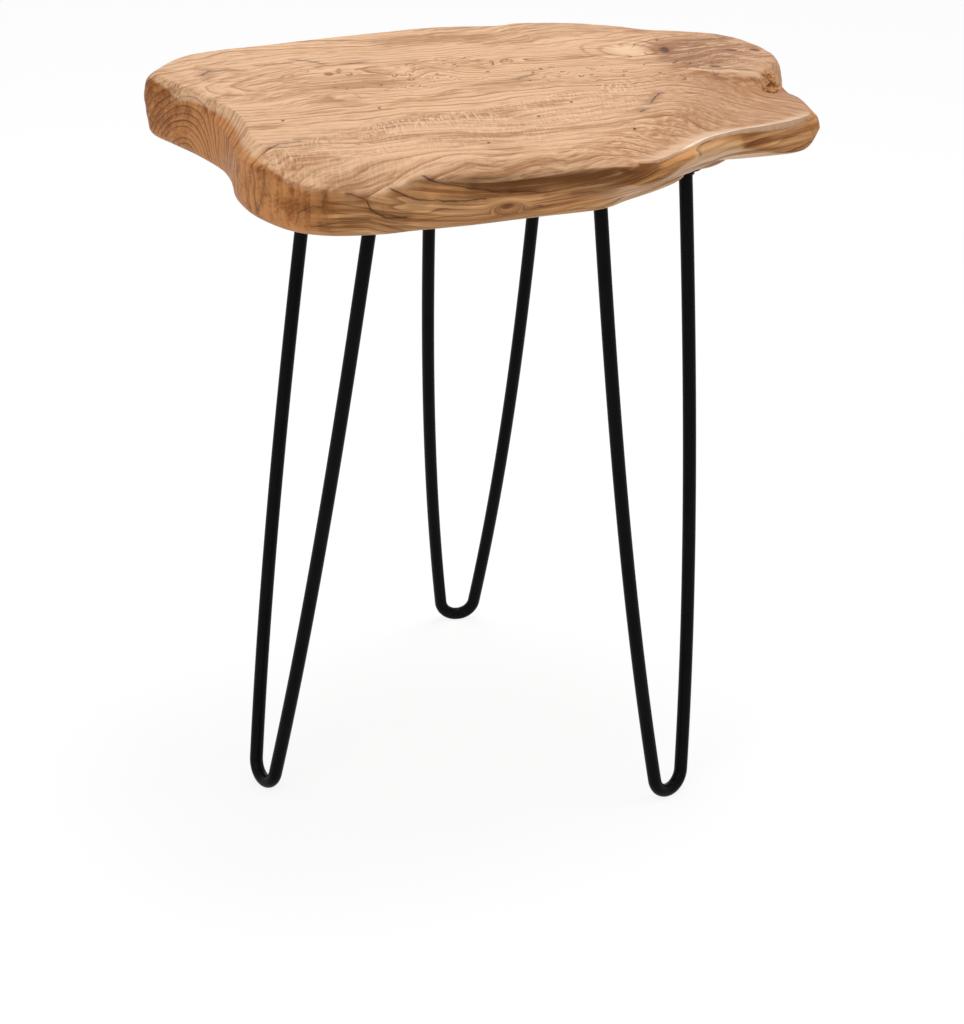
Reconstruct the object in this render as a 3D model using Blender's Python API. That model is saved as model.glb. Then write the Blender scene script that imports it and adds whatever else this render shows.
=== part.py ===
"""Live edge end table: one solid wood slab on three hairpin legs.

Each leg is one bent steel rod, welded at both ends to a plate that is screwed under the slab.
Metres, +Z up. The origin is on the floor, under the middle of the table's box.
"""

import math

import bmesh
import bpy
from mathutils import Matrix, Vector

# Whole table
TABLE_HEIGHT = 0.5207
TOP_LENGTH = 0.4826
TOP_DEPTH = 0.4064
TOP_THICKNESS = 0.046

# Slack left between pieces that touch
SEAT_GAP = 0.0003

# Slab edge: width of the rounding on top, how far the edge's widest line usually lies below the
# top, the deepest undercut, where on the way down it starts, and the rounding underneath
TOP_ROUND = 0.014
EDGE_DROP = 0.014
UNDERCUT = 0.055
UNDERCUT_START = 0.36
BOTTOM_ROUND = 0.007

# Slab outline, anticlockwise from the tip of the right front lobe. Each point has its x and y, as
# shares of the half length and the half depth, then its shares of the edge drop and the undercut.
OUTLINE = (
    (1.000, 0.015, 0.79, 0.96),
    (0.993, 0.108, 0.79, 0.73),
    (0.966, 0.256, 0.79, 0.47),
    (0.914, 0.369, 0.79, 0.25),
    (0.924, 0.507, 0.93, 0.15),
    (0.918, 0.659, 0.93, 0.09),
    (0.841, 0.837, 0.93, 0.09),
    (0.754, 0.903, 0.93, 0.09),
    (0.651, 0.928, 0.93, 0.09),
    (0.547, 0.933, 0.93, 0.09),
    (0.446, 0.972, 0.93, 0.09),
    (0.298, 1.000, 0.93, 0.09),
    (0.116, 0.977, 0.93, 0.09),
    (0.033, 0.923, 0.93, 0.09),
    (-0.166, 0.871, 0.93, 0.09),
    (-0.367, 0.753, 0.93, 0.09),
    (-0.559, 0.623, 0.93, 0.09),
    (-0.748, 0.482, 0.93, 0.09),
    (-0.854, 0.408, 0.93, 0.07),
    (-0.949, 0.300, 1.00, 0.05),
    (-0.995, 0.138, 1.00, 0.04),
    (-1.000, 0.044, 1.00, 0.04),
    (-0.932, -0.052, 1.00, 0.00),
    (-0.829, -0.207, 1.07, 0.00),
    (-0.742, -0.374, 1.21, 0.00),
    (-0.696, -0.541, 1.29, 0.00),
    (-0.673, -0.684, 1.21, 0.00),
    (-0.615, -0.832, 1.00, 0.00),
    (-0.516, -0.960, 1.00, 0.00),
    (-0.406, -1.000, 1.14, 0.00),
    (-0.269, -0.972, 1.21, 0.00),
    (-0.166, -0.928, 1.00, 0.04),
    (-0.012, -0.871, 0.93, 0.09),
    (0.166, -0.792, 0.93, 0.16),
    (0.381, -0.704, 0.86, 0.27),
    (0.497, -0.630, 0.79, 0.40),
    (0.601, -0.482, 0.71, 0.40),
    (0.684, -0.340, 0.79, 0.44),
    (0.775, -0.236, 0.93, 0.62),
    (0.883, -0.148, 0.93, 0.85),
    (0.961, -0.069, 0.93, 1.00),
)
EDGE_COLUMNS = 96
FINE_STEPS = 40

# The right front lobe dips below the rest of the top, in front of a step that meets the edge at its
# notch. Start, full depth and step are shares of the half length and the half depth.
DIP_DEPTH = 0.0105
DIP_START = 0.54
DIP_FULL = 0.89
STEP_AT = 0.345
STEP_WIDTH = 0.012

# Rings of the slab's mesh
TOP_RINGS = (0.22, 0.48, 0.68, 0.82, 0.92)
ROUND_STEPS = 3
SIDE_STEPS = 5
UNDERSIDE_RINGS = (0.7, 0.35)

# Hairpin rod: one rod bent into a U, with two arms that bow apart
ROD_DIAMETER = 0.010
BEND_RADIUS = 0.0144
ARM_SPACING = 0.0864
FOOT_LEAN = math.radians(7.8)
TOP_LEAN = math.radians(0.9)
SPLAY = math.radians(7.8)
FOOT_FLAT = 0.001
ARM_STEPS = 14
BEND_STEPS = 10
ROD_RESOLUTION = 3

# Weld bead round each end of the rod: its leg, and its thickness at half height and at the tip
WELD_LEG = 0.0035
WELD_WAIST = 0.002
WELD_TIP = 0.001

# Mounting plate: the rod stands near its outer edge, with a strip of bare plate past the welds
PLATE_WIDTH = 0.046
PLATE_THICKNESS = 0.003
PLATE_STRIP = 0.0022
PLATE_CORNER = 0.006
PLATE_CORNER_STEPS = 4
INNER_SCREW_INSET = 0.009
OUTER_SCREW_CLEARANCE = 0.008

# Pan head wood screw
SCREW_DIAMETER = 0.0042
SCREW_LENGTH = 0.025
SCREW_TIP = 0.005
HEAD_DIAMETER = 0.0085
HEAD_HEIGHT = 0.0027
HEAD_SIDE = 0.0012
HEAD_FLAT = 0.0046
HEAD_STEPS = 3
HOLE_SLACK = 0.0005
PILOT_RUNOUT = 0.002
ROUND_SIDES = 12

# Legs: where the middle of the plate's rod line sits, as shares of the half length and the half
# depth, and the way the leg leans, in degrees anticlockwise from +X
LEGS = {
    "front_left": (-0.396, -0.290, 215.3),
    "front_right": (0.479, -0.213, 313.3),
    "rear": (0.019, 0.632, 101.4),
}

UNDERSIDE = TABLE_HEIGHT - TOP_THICKNESS
PLATE_TOP = UNDERSIDE - SEAT_GAP
PLATE_BOTTOM = PLATE_TOP - PLATE_THICKNESS
ROD_TOP = PLATE_BOTTOM - SEAT_GAP
ROD_RADIUS = ROD_DIAMETER / 2
WELD_BORE = ROD_RADIUS / math.cos(SPLAY) + SEAT_GAP
WELD_RADIUS = WELD_BORE + WELD_LEG
PLATE_OUTER_EDGE = WELD_RADIUS + PLATE_STRIP
PLATE_LENGTH = ARM_SPACING + 2 * PLATE_OUTER_EDGE


def clear_scene():
    for obj in list(bpy.data.objects):
        bpy.data.objects.remove(obj, do_unlink=True)


def make_material(name, colour, roughness, metallic):
    material = bpy.data.materials.new(name)
    material.use_nodes = True
    shader = material.node_tree.nodes["Principled BSDF"]
    shader.inputs["Base Color"].default_value = (*colour, 1)
    shader.inputs["Roughness"].default_value = roughness
    shader.inputs["Metallic"].default_value = metallic
    return material


def add_object(name, mesh, material=None, parent=None):
    obj = bpy.data.objects.new(name, mesh)
    bpy.context.scene.collection.objects.link(obj)
    obj.parent = parent
    if material:
        mesh.materials.clear()
        mesh.materials.append(material)
    return obj


def mesh_from(bm, name, sharp_angle=40):
    bmesh.ops.recalc_face_normals(bm, faces=bm.faces)
    mesh = bpy.data.meshes.new(name)
    bm.to_mesh(mesh)
    bm.free()
    mesh.shade_smooth()
    mesh.set_sharp_from_angle(angle=math.radians(sharp_angle))
    return mesh


def add_cut(obj, cutter):
    """Cuts the hidden cutter out of the object."""
    cutter.hide_render = True
    cutter.display_type = "WIRE"
    cut = obj.modifiers.new("cut_" + cutter.name, "BOOLEAN")
    cut.operation = "DIFFERENCE"
    cut.solver = "EXACT"
    cut.object = cutter


def smooth_ramp(value, start, end):
    share = min(max((value - start) / (end - start), 0), 1)
    return share * share * (3 - 2 * share)


def turned_mesh(name, profile):
    """The profile's (radius, height) points turned once round Z."""
    bm = bmesh.new()
    points = [bm.verts.new((radius, 0, height)) for radius, height in profile]
    edges = [bm.edges.new(pair) for pair in zip(points, points[1:])]
    bmesh.ops.spin(
        bm,
        geom=points + edges,
        axis=(0, 0, 1),
        cent=(0, 0, 0),
        angle=math.tau,
        steps=ROUND_SIDES,
        use_merge=True,
    )
    bmesh.ops.remove_doubles(bm, verts=bm.verts, dist=1e-6)
    return mesh_from(bm, name)


# The slab


def outline_curve(position):
    """The closed smooth curve through the outline's points, with position running from 0 to 1."""
    count = len(OUTLINE)
    place = position * count
    index = int(place)
    share = place - index
    a, b, c, d = (Vector(OUTLINE[(index + step) % count]) for step in (-1, 0, 1, 2))
    return 0.5 * (
        2 * b + (c - a) * share + (2 * a - 5 * b + 4 * c - d) * share**2 + (3 * b - a - 3 * c + d) * share**3
    )


def edge_columns():
    """Evenly spaced edge points: x, y, edge drop and undercut, at the slab's real size."""
    size = (TOP_LENGTH, TOP_DEPTH)
    count = FINE_STEPS * len(OUTLINE)
    fine = [outline_curve(step / count) for step in range(count)]
    lengths = [0.0]
    for here, there in zip(fine, fine[1:] + fine[:1]):
        run = Vector(((there[axis] - here[axis]) * size[axis] for axis in (0, 1)))
        lengths.append(lengths[-1] + run.length)
    columns = []
    for column in range(EDGE_COLUMNS):
        wanted = lengths[-1] * column / EDGE_COLUMNS
        nearest = min(range(count), key=lambda step: abs(lengths[step] - wanted))
        columns.append(fine[nearest])
    for axis in (0, 1):
        low = min(point[axis] for point in columns)
        high = max(point[axis] for point in columns)
        for point in columns:
            point[axis] = ((point[axis] - low) / (high - low) - 0.5) * size[axis]
    for point in columns:
        point[2] *= EDGE_DROP
        point[3] = max(point[3], 0) * UNDERCUT
    return columns


def dip(x, y):
    """How far the top lies below its flat at this plan position."""
    along = smooth_ramp(x, DIP_START * TOP_LENGTH / 2, DIP_FULL * TOP_LENGTH / 2)
    step = STEP_AT * TOP_DEPTH / 2
    return DIP_DEPTH * along * smooth_ramp(-y, -step - STEP_WIDTH / 2, -step + STEP_WIDTH / 2)


def edge_profile(drop, undercut):
    """(inset from the widest line, height) pairs from the top's flat round to the underside."""
    profile = []
    for i in range(ROUND_STEPS + 1):
        turn = math.pi / 2 * i / ROUND_STEPS
        profile.append((TOP_ROUND * (1 - math.sin(turn)), TABLE_HEIGHT - drop * (1 - math.cos(turn))))
    widest = TABLE_HEIGHT - drop
    lowest = UNDERSIDE + BOTTOM_ROUND
    for i in range(1, SIDE_STEPS + 1):
        share = i / SIDE_STEPS
        started = max(share - UNDERCUT_START, 0) / (1 - UNDERCUT_START)
        profile.append((undercut * started, widest + (lowest - widest) * share))
    for i in range(1, ROUND_STEPS + 1):
        turn = math.pi / 2 * i / ROUND_STEPS
        inset = undercut + BOTTOM_ROUND * (1 - math.cos(turn))
        profile.append((inset, lowest - BOTTOM_ROUND * math.sin(turn)))
    return profile


def slab_rings(edge):
    """The points down one column of the slab, from near the middle of its top to under it."""
    drop, undercut = edge[2], edge[3]
    reach = edge.xy.length
    profile = edge_profile(drop, undercut)
    rings = [((reach - TOP_ROUND) * ring, TABLE_HEIGHT) for ring in TOP_RINGS]
    rings += [(reach - inset, height) for inset, height in profile]
    rings += [((reach - profile[-1][0]) * ring, UNDERSIDE) for ring in UNDERSIDE_RINGS]
    points = []
    for distance, height in rings:
        place = edge.xy * (distance / reach)
        share = min(max((height - UNDERSIDE - BOTTOM_ROUND) / (TOP_THICKNESS - BOTTOM_ROUND - drop), 0), 1)
        points.append(Vector((*place, height - dip(*place) * share)))
    return points


def make_slab(material):
    """A sphere's mesh, each column moved onto an edge column and each ring onto the slab's rings."""
    columns = [slab_rings(edge) for edge in edge_columns()]
    bands = len(columns[0]) + 1
    bm = bmesh.new()
    bmesh.ops.create_uvsphere(bm, u_segments=EDGE_COLUMNS, v_segments=bands, radius=1)
    for vert in bm.verts:
        ring = round(math.acos(max(-1, min(1, vert.co.z))) / math.pi * bands)
        turn = math.atan2(vert.co.y, vert.co.x) / math.tau
        if ring == 0:
            vert.co = (0, 0, TABLE_HEIGHT)
        elif ring == bands:
            vert.co = (0, 0, UNDERSIDE)
        else:
            vert.co = columns[round(turn * EDGE_COLUMNS) % EDGE_COLUMNS][ring - 1]
    return add_object("wood_top", mesh_from(bm, "wood_top"), material)


# The legs, in the leg's own frame: X across the rod's two arms, Y the way the leg leans, Z up


def arm_half_spacing(share, foot, top):
    """Half the distance between the arms, from the end of the foot bend (0) to the plate (1)."""
    rise = top[1] - foot[1]
    start_slope = math.tan(FOOT_LEAN) * rise
    end_slope = math.tan(TOP_LEAN) * rise
    square, cube = share**2, share**3
    return (
        (2 * cube - 3 * square + 1) * foot[0]
        + (cube - 2 * square + share) * start_slope
        + (3 * square - 2 * cube) * top[0]
        + (cube - square) * end_slope
    )


def lean_out(height):
    """How far the leg stands out at this height."""
    return (ROD_TOP - height) * math.tan(SPLAY)


def rod_centreline():
    """Down one arm, round the foot and up the other, past the plate so that the ends can be cut."""
    middle = ROD_RADIUS - FOOT_FLAT + BEND_RADIUS
    half_turn = math.pi / 2 - FOOT_LEAN
    foot = (BEND_RADIUS * math.sin(half_turn), middle - BEND_RADIUS * math.cos(half_turn))
    top = (ARM_SPACING / 2, ROD_TOP)
    half = []
    for i in range(BEND_STEPS // 2):
        turn = half_turn * i / (BEND_STEPS // 2)
        half.append((BEND_RADIUS * math.sin(turn), middle - BEND_RADIUS * math.cos(turn)))
    for i in range(ARM_STEPS + 1):
        share = i / ARM_STEPS
        half.append((arm_half_spacing(share, foot, top), foot[1] + (top[1] - foot[1]) * share))
    spare = ROD_DIAMETER
    half.append((top[0] + spare * math.tan(TOP_LEAN), ROD_TOP + spare))
    path = [(-x, z) for x, z in reversed(half[1:])] + half
    return [(x, lean_out(z), z) for x, z in path]


def make_rod_mesh():
    """A round bar along the centreline, cut level at the plate and ground flat at the floor."""
    path = rod_centreline()
    curve = bpy.data.curves.new("rod_path", "CURVE")
    curve.dimensions = "3D"
    curve.twist_mode = "MINIMUM"
    curve.bevel_depth = ROD_RADIUS
    curve.bevel_resolution = ROD_RESOLUTION
    curve.use_fill_caps = True
    spline = curve.splines.new("POLY")
    spline.points.add(len(path) - 1)
    for point, place in zip(spline.points, path):
        point.co = (*place, 1)
    guide = bpy.data.objects.new("rod_path", curve)
    bm = bmesh.new()
    bm.from_mesh(bpy.data.meshes.new_from_object(guide))
    bpy.data.objects.remove(guide)
    bmesh.ops.remove_doubles(bm, verts=bm.verts, dist=1e-6)
    for height, direction in ((ROD_TOP, 1), (0, -1)):
        cut = bmesh.ops.bisect_plane(
            bm,
            geom=bm.verts[:] + bm.edges[:] + bm.faces[:],
            plane_co=(0, 0, height),
            plane_no=(0, 0, direction),
            clear_outer=True,
        )
        rim = [item for item in cut["geom_cut"] if isinstance(item, bmesh.types.BMEdge)]
        bmesh.ops.edgeloop_fill(bm, edges=rim)
    return mesh_from(bm, "hairpin_rod")


def screw_places():
    """Where the plate's screws go: two near its inner corners, two between the rod's ends."""
    inner_edge = PLATE_OUTER_EDGE - PLATE_WIDTH
    across = PLATE_LENGTH / 2 - INNER_SCREW_INSET
    inner = [(side * across, inner_edge + INNER_SCREW_INSET) for side in (-1, 1)]
    between = ARM_SPACING / 2 - WELD_RADIUS - OUTER_SCREW_CLEARANCE - HEAD_DIAMETER / 2
    outer = [(side * between, 0) for side in (-1, 1)]
    return inner + outer


def make_plate_mesh():
    """A flat plate with rounded corners, its rod line at Y = 0."""
    bm = bmesh.new()
    bmesh.ops.create_cube(bm, size=1)
    bmesh.ops.scale(bm, vec=(PLATE_LENGTH, PLATE_WIDTH, PLATE_THICKNESS), verts=bm.verts)
    middle = (0, PLATE_OUTER_EDGE - PLATE_WIDTH / 2, (PLATE_TOP + PLATE_BOTTOM) / 2)
    bmesh.ops.translate(bm, vec=middle, verts=bm.verts)
    upright = [edge for edge in bm.edges if abs(edge.verts[0].co.z - edge.verts[1].co.z) > PLATE_THICKNESS / 2]
    bmesh.ops.bevel(
        bm,
        geom=upright,
        offset=PLATE_CORNER,
        segments=PLATE_CORNER_STEPS,
        profile=0.5,
        affect="EDGES",
        material=-1,
    )
    return mesh_from(bm, "plate")


def make_hole_mesh(name, radius, low, high):
    """One upright cylinder at each screw, to cut its holes."""
    bm = bmesh.new()
    for x, y in screw_places():
        bmesh.ops.create_cone(
            bm,
            cap_ends=True,
            segments=ROUND_SIDES,
            radius1=radius,
            radius2=radius,
            depth=high - low,
            matrix=Matrix.Translation((x, y, (low + high) / 2)),
        )
    return mesh_from(bm, name)


def make_screw_mesh():
    """A pan head screw, head down, with the head's seat at Z = 0."""
    head = HEAD_DIAMETER / 2
    shank = SCREW_DIAMETER / 2
    profile = [(0, SCREW_LENGTH), (shank, SCREW_LENGTH - SCREW_TIP), (shank, 0), (head, 0)]
    for i in range(HEAD_STEPS + 1):
        turn = math.pi / 2 * i / HEAD_STEPS
        out = HEAD_FLAT / 2 + (head - HEAD_FLAT / 2) * math.cos(turn)
        profile.append((out, -HEAD_SIDE - (HEAD_HEIGHT - HEAD_SIDE) * math.sin(turn)))
    profile.append((0, -HEAD_HEIGHT))
    return turned_mesh("screw", profile)


def make_weld_mesh(side):
    """A hollow fillet round the end of the rod, slanted with it."""
    profile = (
        (WELD_BORE, 0),
        (WELD_RADIUS, 0),
        (WELD_BORE + WELD_WAIST, -WELD_LEG / 2),
        (WELD_BORE + WELD_TIP, -WELD_LEG),
        (WELD_BORE, -WELD_LEG),
        (WELD_BORE, 0),
    )
    bm = bmesh.new()
    bm.from_mesh(turned_mesh("weld_ring", profile))
    for vert in bm.verts:
        vert.co.x += side * (ARM_SPACING / 2 + vert.co.z * math.tan(TOP_LEAN))
        vert.co.y -= vert.co.z * math.tan(SPLAY)
        vert.co.z += ROD_TOP
    return mesh_from(bm, "weld")


def make_legs(slab, paint, zinc):
    rod_mesh = make_rod_mesh()
    plate_mesh = make_plate_mesh()
    screw_mesh = make_screw_mesh()
    weld_meshes = [make_weld_mesh(side) for side in (-1, 1)]
    plate_hole = SCREW_DIAMETER / 2 + HOLE_SLACK
    hole_mesh = make_hole_mesh("plate_holes", plate_hole, PLATE_BOTTOM - HEAD_HEIGHT, UNDERSIDE + HEAD_HEIGHT)
    pilot_top = PLATE_BOTTOM - SEAT_GAP + SCREW_LENGTH + PILOT_RUNOUT
    pilot_radius = SCREW_DIAMETER / 2 + SEAT_GAP
    pilot_mesh = make_hole_mesh("pilot_holes", pilot_radius, UNDERSIDE - HEAD_HEIGHT, pilot_top)
    for leg, (across, back, heading) in LEGS.items():
        stand = add_object(leg + "_leg", None)
        stand.location = (across * TOP_LENGTH / 2, back * TOP_DEPTH / 2, 0)
        stand.rotation_euler.z = math.radians(heading) - math.pi / 2
        add_object(leg + "_hairpin", rod_mesh, paint, stand)
        plate = add_object(leg + "_plate", plate_mesh, paint, stand)
        add_cut(plate, add_object(leg + "_plate_holes", hole_mesh, parent=stand))
        add_cut(slab, add_object(leg + "_pilot_holes", pilot_mesh, parent=stand))
        for number, mesh in enumerate(weld_meshes, start=1):
            add_object(f"{leg}_weld_{number}", mesh, paint, stand)
        for number, (x, y) in enumerate(screw_places(), start=1):
            screw = add_object(f"{leg}_screw_{number}", screw_mesh, zinc, stand)
            screw.location = (x, y, PLATE_BOTTOM - SEAT_GAP)


def main():
    clear_scene()
    wood = make_material("wood", (0.60, 0.37, 0.20), 0.5, 0)
    paint = make_material("black_paint", (0.012, 0.011, 0.011), 0.35, 0)
    zinc = make_material("zinc", (0.55, 0.55, 0.55), 0.4, 1)
    slab = make_slab(wood)
    make_legs(slab, paint, zinc)


main()
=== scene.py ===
"""Live edge end table on hairpin legs: the finished surfaces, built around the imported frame."""

import math

import bmesh
import bpy
from bpy.props import FloatProperty, FloatVectorProperty, PointerProperty
from mathutils import Matrix, Vector, noise


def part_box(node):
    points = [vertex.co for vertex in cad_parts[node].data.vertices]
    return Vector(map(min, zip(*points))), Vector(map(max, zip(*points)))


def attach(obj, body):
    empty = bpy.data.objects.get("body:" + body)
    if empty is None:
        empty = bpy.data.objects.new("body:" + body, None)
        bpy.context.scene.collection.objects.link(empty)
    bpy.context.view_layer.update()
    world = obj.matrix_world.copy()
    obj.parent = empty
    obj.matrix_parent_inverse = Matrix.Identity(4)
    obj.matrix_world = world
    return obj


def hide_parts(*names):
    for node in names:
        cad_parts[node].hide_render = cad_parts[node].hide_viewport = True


bl_info = {
    "name": "Live Edge End Table",
    "version": (1, 0, 0),
    "blender": (4, 5, 0),
    "location": "View3D > Sidebar > End Table",
    "description": "Builds the slab, hairpin legs, hardware and studio of a live edge end table",
    "category": "Add Mesh",
}

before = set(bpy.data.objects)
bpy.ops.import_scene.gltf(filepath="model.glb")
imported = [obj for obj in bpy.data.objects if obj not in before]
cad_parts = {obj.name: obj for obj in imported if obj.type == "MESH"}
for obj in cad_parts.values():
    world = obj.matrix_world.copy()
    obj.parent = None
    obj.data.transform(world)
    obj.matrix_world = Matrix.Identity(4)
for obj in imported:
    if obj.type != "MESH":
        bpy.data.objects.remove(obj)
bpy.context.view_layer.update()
SLAB_LOW, SLAB_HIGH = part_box("wood_top")
SLAB_SIZE = SLAB_HIGH - SLAB_LOW
MM = 0.001

# Points nearer to each other than this are one
CLOSE = 1e-6

# Slab outline in millimetres, anticlockwise from the tip of the right front lobe: x, y, the depth of the
# edge's widest line below the top, the undercut beneath it, the width of the crest above it, and the
# crest's bow: 2 for a bevel, 1 for a rounded wane, 0 for a quarter round, -1 for a hollow under a lip
OUTLINE = (
    (241.3, 3, 18, 58, 7, -0.5),
    (239.5, 22, 17, 44, 9, 0),
    (233, 52, 15, 26, 12, 0.4),
    (220.5, 75, 14, 14, 13, 0.5),
    (223, 103, 11, 8, 9, 0.4),
    (221.5, 134, 12, 5, 10, 0.5),
    (203, 170, 13, 5, 13, 0.6),
    (182, 183.5, 13, 5, 13, 0.6),
    (157, 188.5, 13, 5, 13, 0.6),
    (132, 189.5, 13, 5, 13, 0.6),
    (107.5, 197.5, 13, 5, 13, 0.6),
    (72, 203.2, 13, 5, 13, 0.6),
    (28, 198.5, 13, 5, 13, 0.6),
    (8, 187.5, 13, 5, 13, 0.6),
    (-40, 177, 13, 5, 13, 0.6),
    (-88.5, 153, 13, 5, 13, 0.6),
    (-135, 126.5, 13, 5, 13, 0.6),
    (-180.5, 98, 13, 5, 13, 0.6),
    (-206, 83, 13, 4, 13, 0.5),
    (-229, 61, 12, 3, 12, 0.4),
    (-240, 28, 11, 2, 10, 0.3),
    (-241.3, 9, 10, 2, 9, 0.3),
    (-225, -10.5, 10, 0, 8, 0.6),
    (-200, -42, 9, 0, 6, 1.4),
    (-179, -76, 12, 0, 8, 2),
    (-168, -110, 14, 0, 11, 2),
    (-162.5, -139, 13, 0, 12, 2),
    (-148.5, -169, 9, 0, 15, 1.4),
    (-124.5, -195, 10, 0, 22, 1),
    (-98, -203.2, 14, 0, 29, 1),
    (-65, -197.5, 18, 0, 31, 1),
    (-40, -188.5, 10, 2, 20, 0.9),
    (-3, -177, 10, 5, 15, 0.8),
    (40, -161, 11, 9, 14, 0.8),
    (92, -143, 11, 15, 9, 0.8),
    (120, -128, 20, 25, 5, -0.6),
    (145, -98, 15, 24, 6, -1),
    (165, -69, 17.5, 24.5, 7, -1),
    (187, -48, 22, 40, 8, -1),
    (213, -30, 30, 45.5, 8, -1),
    (232, -14, 31, 55, 8, -0.9),
)
DROP, UNDERCUT, CREST, BOW = 2, 3, 4, 5
FINE_STEPS = 40

# Slab mesh: squares from the middle of the top to its edge, and rings down the edge
TOP_SQUARES = 80
EDGE_COLUMNS = 8 * TOP_SQUARES
CREST_RINGS = 10
SIDE_RINGS = 22
ROUND_RINGS = 5
SLAB_MARKS = ("side", "chamfer", "under", "pit", "lip")

# Spots on the top, in metres: the middle's x and y, and the half length and half depth round it
PIT = (0.211, 0.068, 0.009, 0.015)
BURL = (0.168, 0.118, 0.052, 0.060)
BURL_EYES = (0.165, 0.125, 0.05, 0.045)
EYE = (0.108, 0.117, 0.019, 0.016)
EYE_GLOW = (0.078, 0.128, 0.070, 0.045)
KNOT = (0.136, 0.121, 0.0042, 0.010)
KNOT_HALO = (0.136, 0.121, 0.016, 0.034)
PIP_SIZE = (0.0014, 0.0024)
PIPS = (
    (-0.142, -0.185),
    (-0.060, -0.200),
    (-0.070, -0.059),
    (-0.133, -0.097),
    (0.006, -0.132),
    (0.040, -0.065),
    (0.063, -0.027),
    (0.105, -0.085),
)
BURL_SLOT_SIZE = (0.0055, 0.0035)
BURL_SLOTS = ((0.186, 0.128), (0.204, 0.130), (0.171, 0.080))

# Y and half width of the ledge between the burl and the lobe, along whose crest a pale line is painted as a
# highlight
LEDGE = 0.0715
LEDGE_HALF_WIDTH = 0.0024

# The way from the slab's middle to the lip
LIP_WAY = (0.82, -0.57)

# The heart of the wood, which runs with the grain: how far back and how high it lies, and how it rises.
# Right of the start of the bend the grain turns to the front.
HEART_BACK = 0.062
HEART_HEIGHT = 0.4977
HEART_RISE = 0.1266
BEND_START = 0.125
BEND = 5

# The front's long threads lie lowest at one x and rise to both sides, within this reach of it
FRONT_LOWEST = 0.02
FRONT_REACH = (-0.09, 0.10)
FRONT_SAG = 1.6
FRONT_KNOT = (0.020, 0.488)
FRONT_KNOT_SIZE = (0.016, 0.008)

# The bowed line along which the cross grain ticks start: a point on it, the way to its front side, and its
# bow with the bow's middle and half length
TICK_POINT = (-0.145, -0.180)
TICK_WAY = (0.650, -0.760)
TICK_BOW = 0.013
TICK_BOW_MIDDLE = -0.066
TICK_BOW_HALF = 0.08

# Where the rings close on themselves: x, y, half length, half depth, turn in degrees and the rings added
SWIRLS = (
    (0.078, 0.128, 0.090, 0.052, 0, 2.2),
    (0.108, 0.117, 0.026, 0.022, 5, 2.4),
    (0.163, 0.062, 0.052, 0.026, -6, 2.6),
    (-0.100, -0.024, 0.028, 0.022, 25, 2.2),
    (-0.034, 0.038, 0.026, 0.030, 20, 1.8),
)
EYE_BAND = ((-0.105, 0.011), (-0.060, 0.020), (-0.015, 0.055), (0.030, 0.042), (0.100, 0.060), (0.150, 0.088))

# Dark shakes: on the front face a strength and the points as x and height, on the top the points as x and y
FRONT_SHAKES = (
    (1.0, ((-0.084, 0.505), (-0.071, 0.501), (-0.067, 0.494), (-0.058, 0.488), (-0.046, 0.487))),
    (1.0, ((-0.058, 0.508), (-0.041, 0.499), (-0.021, 0.496), (0.005, 0.496))),
    (1.0, ((-0.043, 0.516), (-0.027, 0.509), (-0.010, 0.505), (0.015, 0.500), (0.045, 0.497))),
    (0.7, ((0.045, 0.497), (0.080, 0.501), (0.100, 0.502), (0.114, 0.507))),
    (0.65, ((-0.117, 0.483), (-0.115, 0.491), (-0.105, 0.496), (-0.099, 0.496), (-0.096, 0.505))),
    (0.75, ((-0.107, 0.482), (-0.088, 0.486), (-0.069, 0.487))),
    (0.5, ((-0.146, 0.510), (-0.138, 0.512), (-0.138, 0.502), (-0.142, 0.487))),
)
TOP_SHAKES = (
    ((-0.200, 0.008), (-0.196, 0.019), (-0.178, 0.025)),
    ((-0.163, 0.038), (-0.152, 0.044), (-0.139, 0.048)),
    ((-0.140, 0.057), (-0.128, 0.056), (-0.116, 0.049)),
    ((-0.098, 0.052), (-0.089, 0.056)),
    ((-0.138, -0.159), (-0.131, -0.149), (-0.118, -0.144)),
    ((0.026, 0.027), (0.037, 0.041)),
    ((0.125, 0.002), (0.119, -0.022)),
    ((0.113, -0.040), (0.110, -0.046)),
)

# Broad marks along the front face: half width, strength, colour, and the points as x and height
FRONT_BANDS = (
    # The first band is painted shade just under the crease, the fourth painted shade in the hollow under the
    # lobe's lip
    (0.008, 0.9, (0.17, 0.066, 0.020), ((0.000, 0.508), (0.030, 0.505), (0.080, 0.506), (0.116, 0.509))),
    (0.006, 0.7, (0.21, 0.115, 0.042), ((0.066, 0.493), (0.092, 0.494))),
    (0.011, 0.6, (0.20, 0.075, 0.024), ((-0.116, 0.488), (-0.100, 0.497))),
    (0.006, 0.5, (0.17, 0.062, 0.018), ((0.185, 0.507), (0.205, 0.508), (0.219, 0.509))),
    (0.007, 0.75, (0.88, 0.54, 0.28), ((0.152, 0.504), (0.166, 0.503), (0.178, 0.499))),
)

# Colours of single features; where there are two, they are the darkest and the lightest
# The lobe's colour is partly its own greyer tone and partly painted shade
LOBE_TONE_AND_SHADE = (0.44, 0.225, 0.118)
BRIGHT_TINT = (0.93, 0.66, 0.45)
BURL_TINT = (0.25, 0.098, 0.036)
EYE_TINT = (0.90, 0.63, 0.41)
HALO_TINT = (0.30, 0.125, 0.050)
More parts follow.
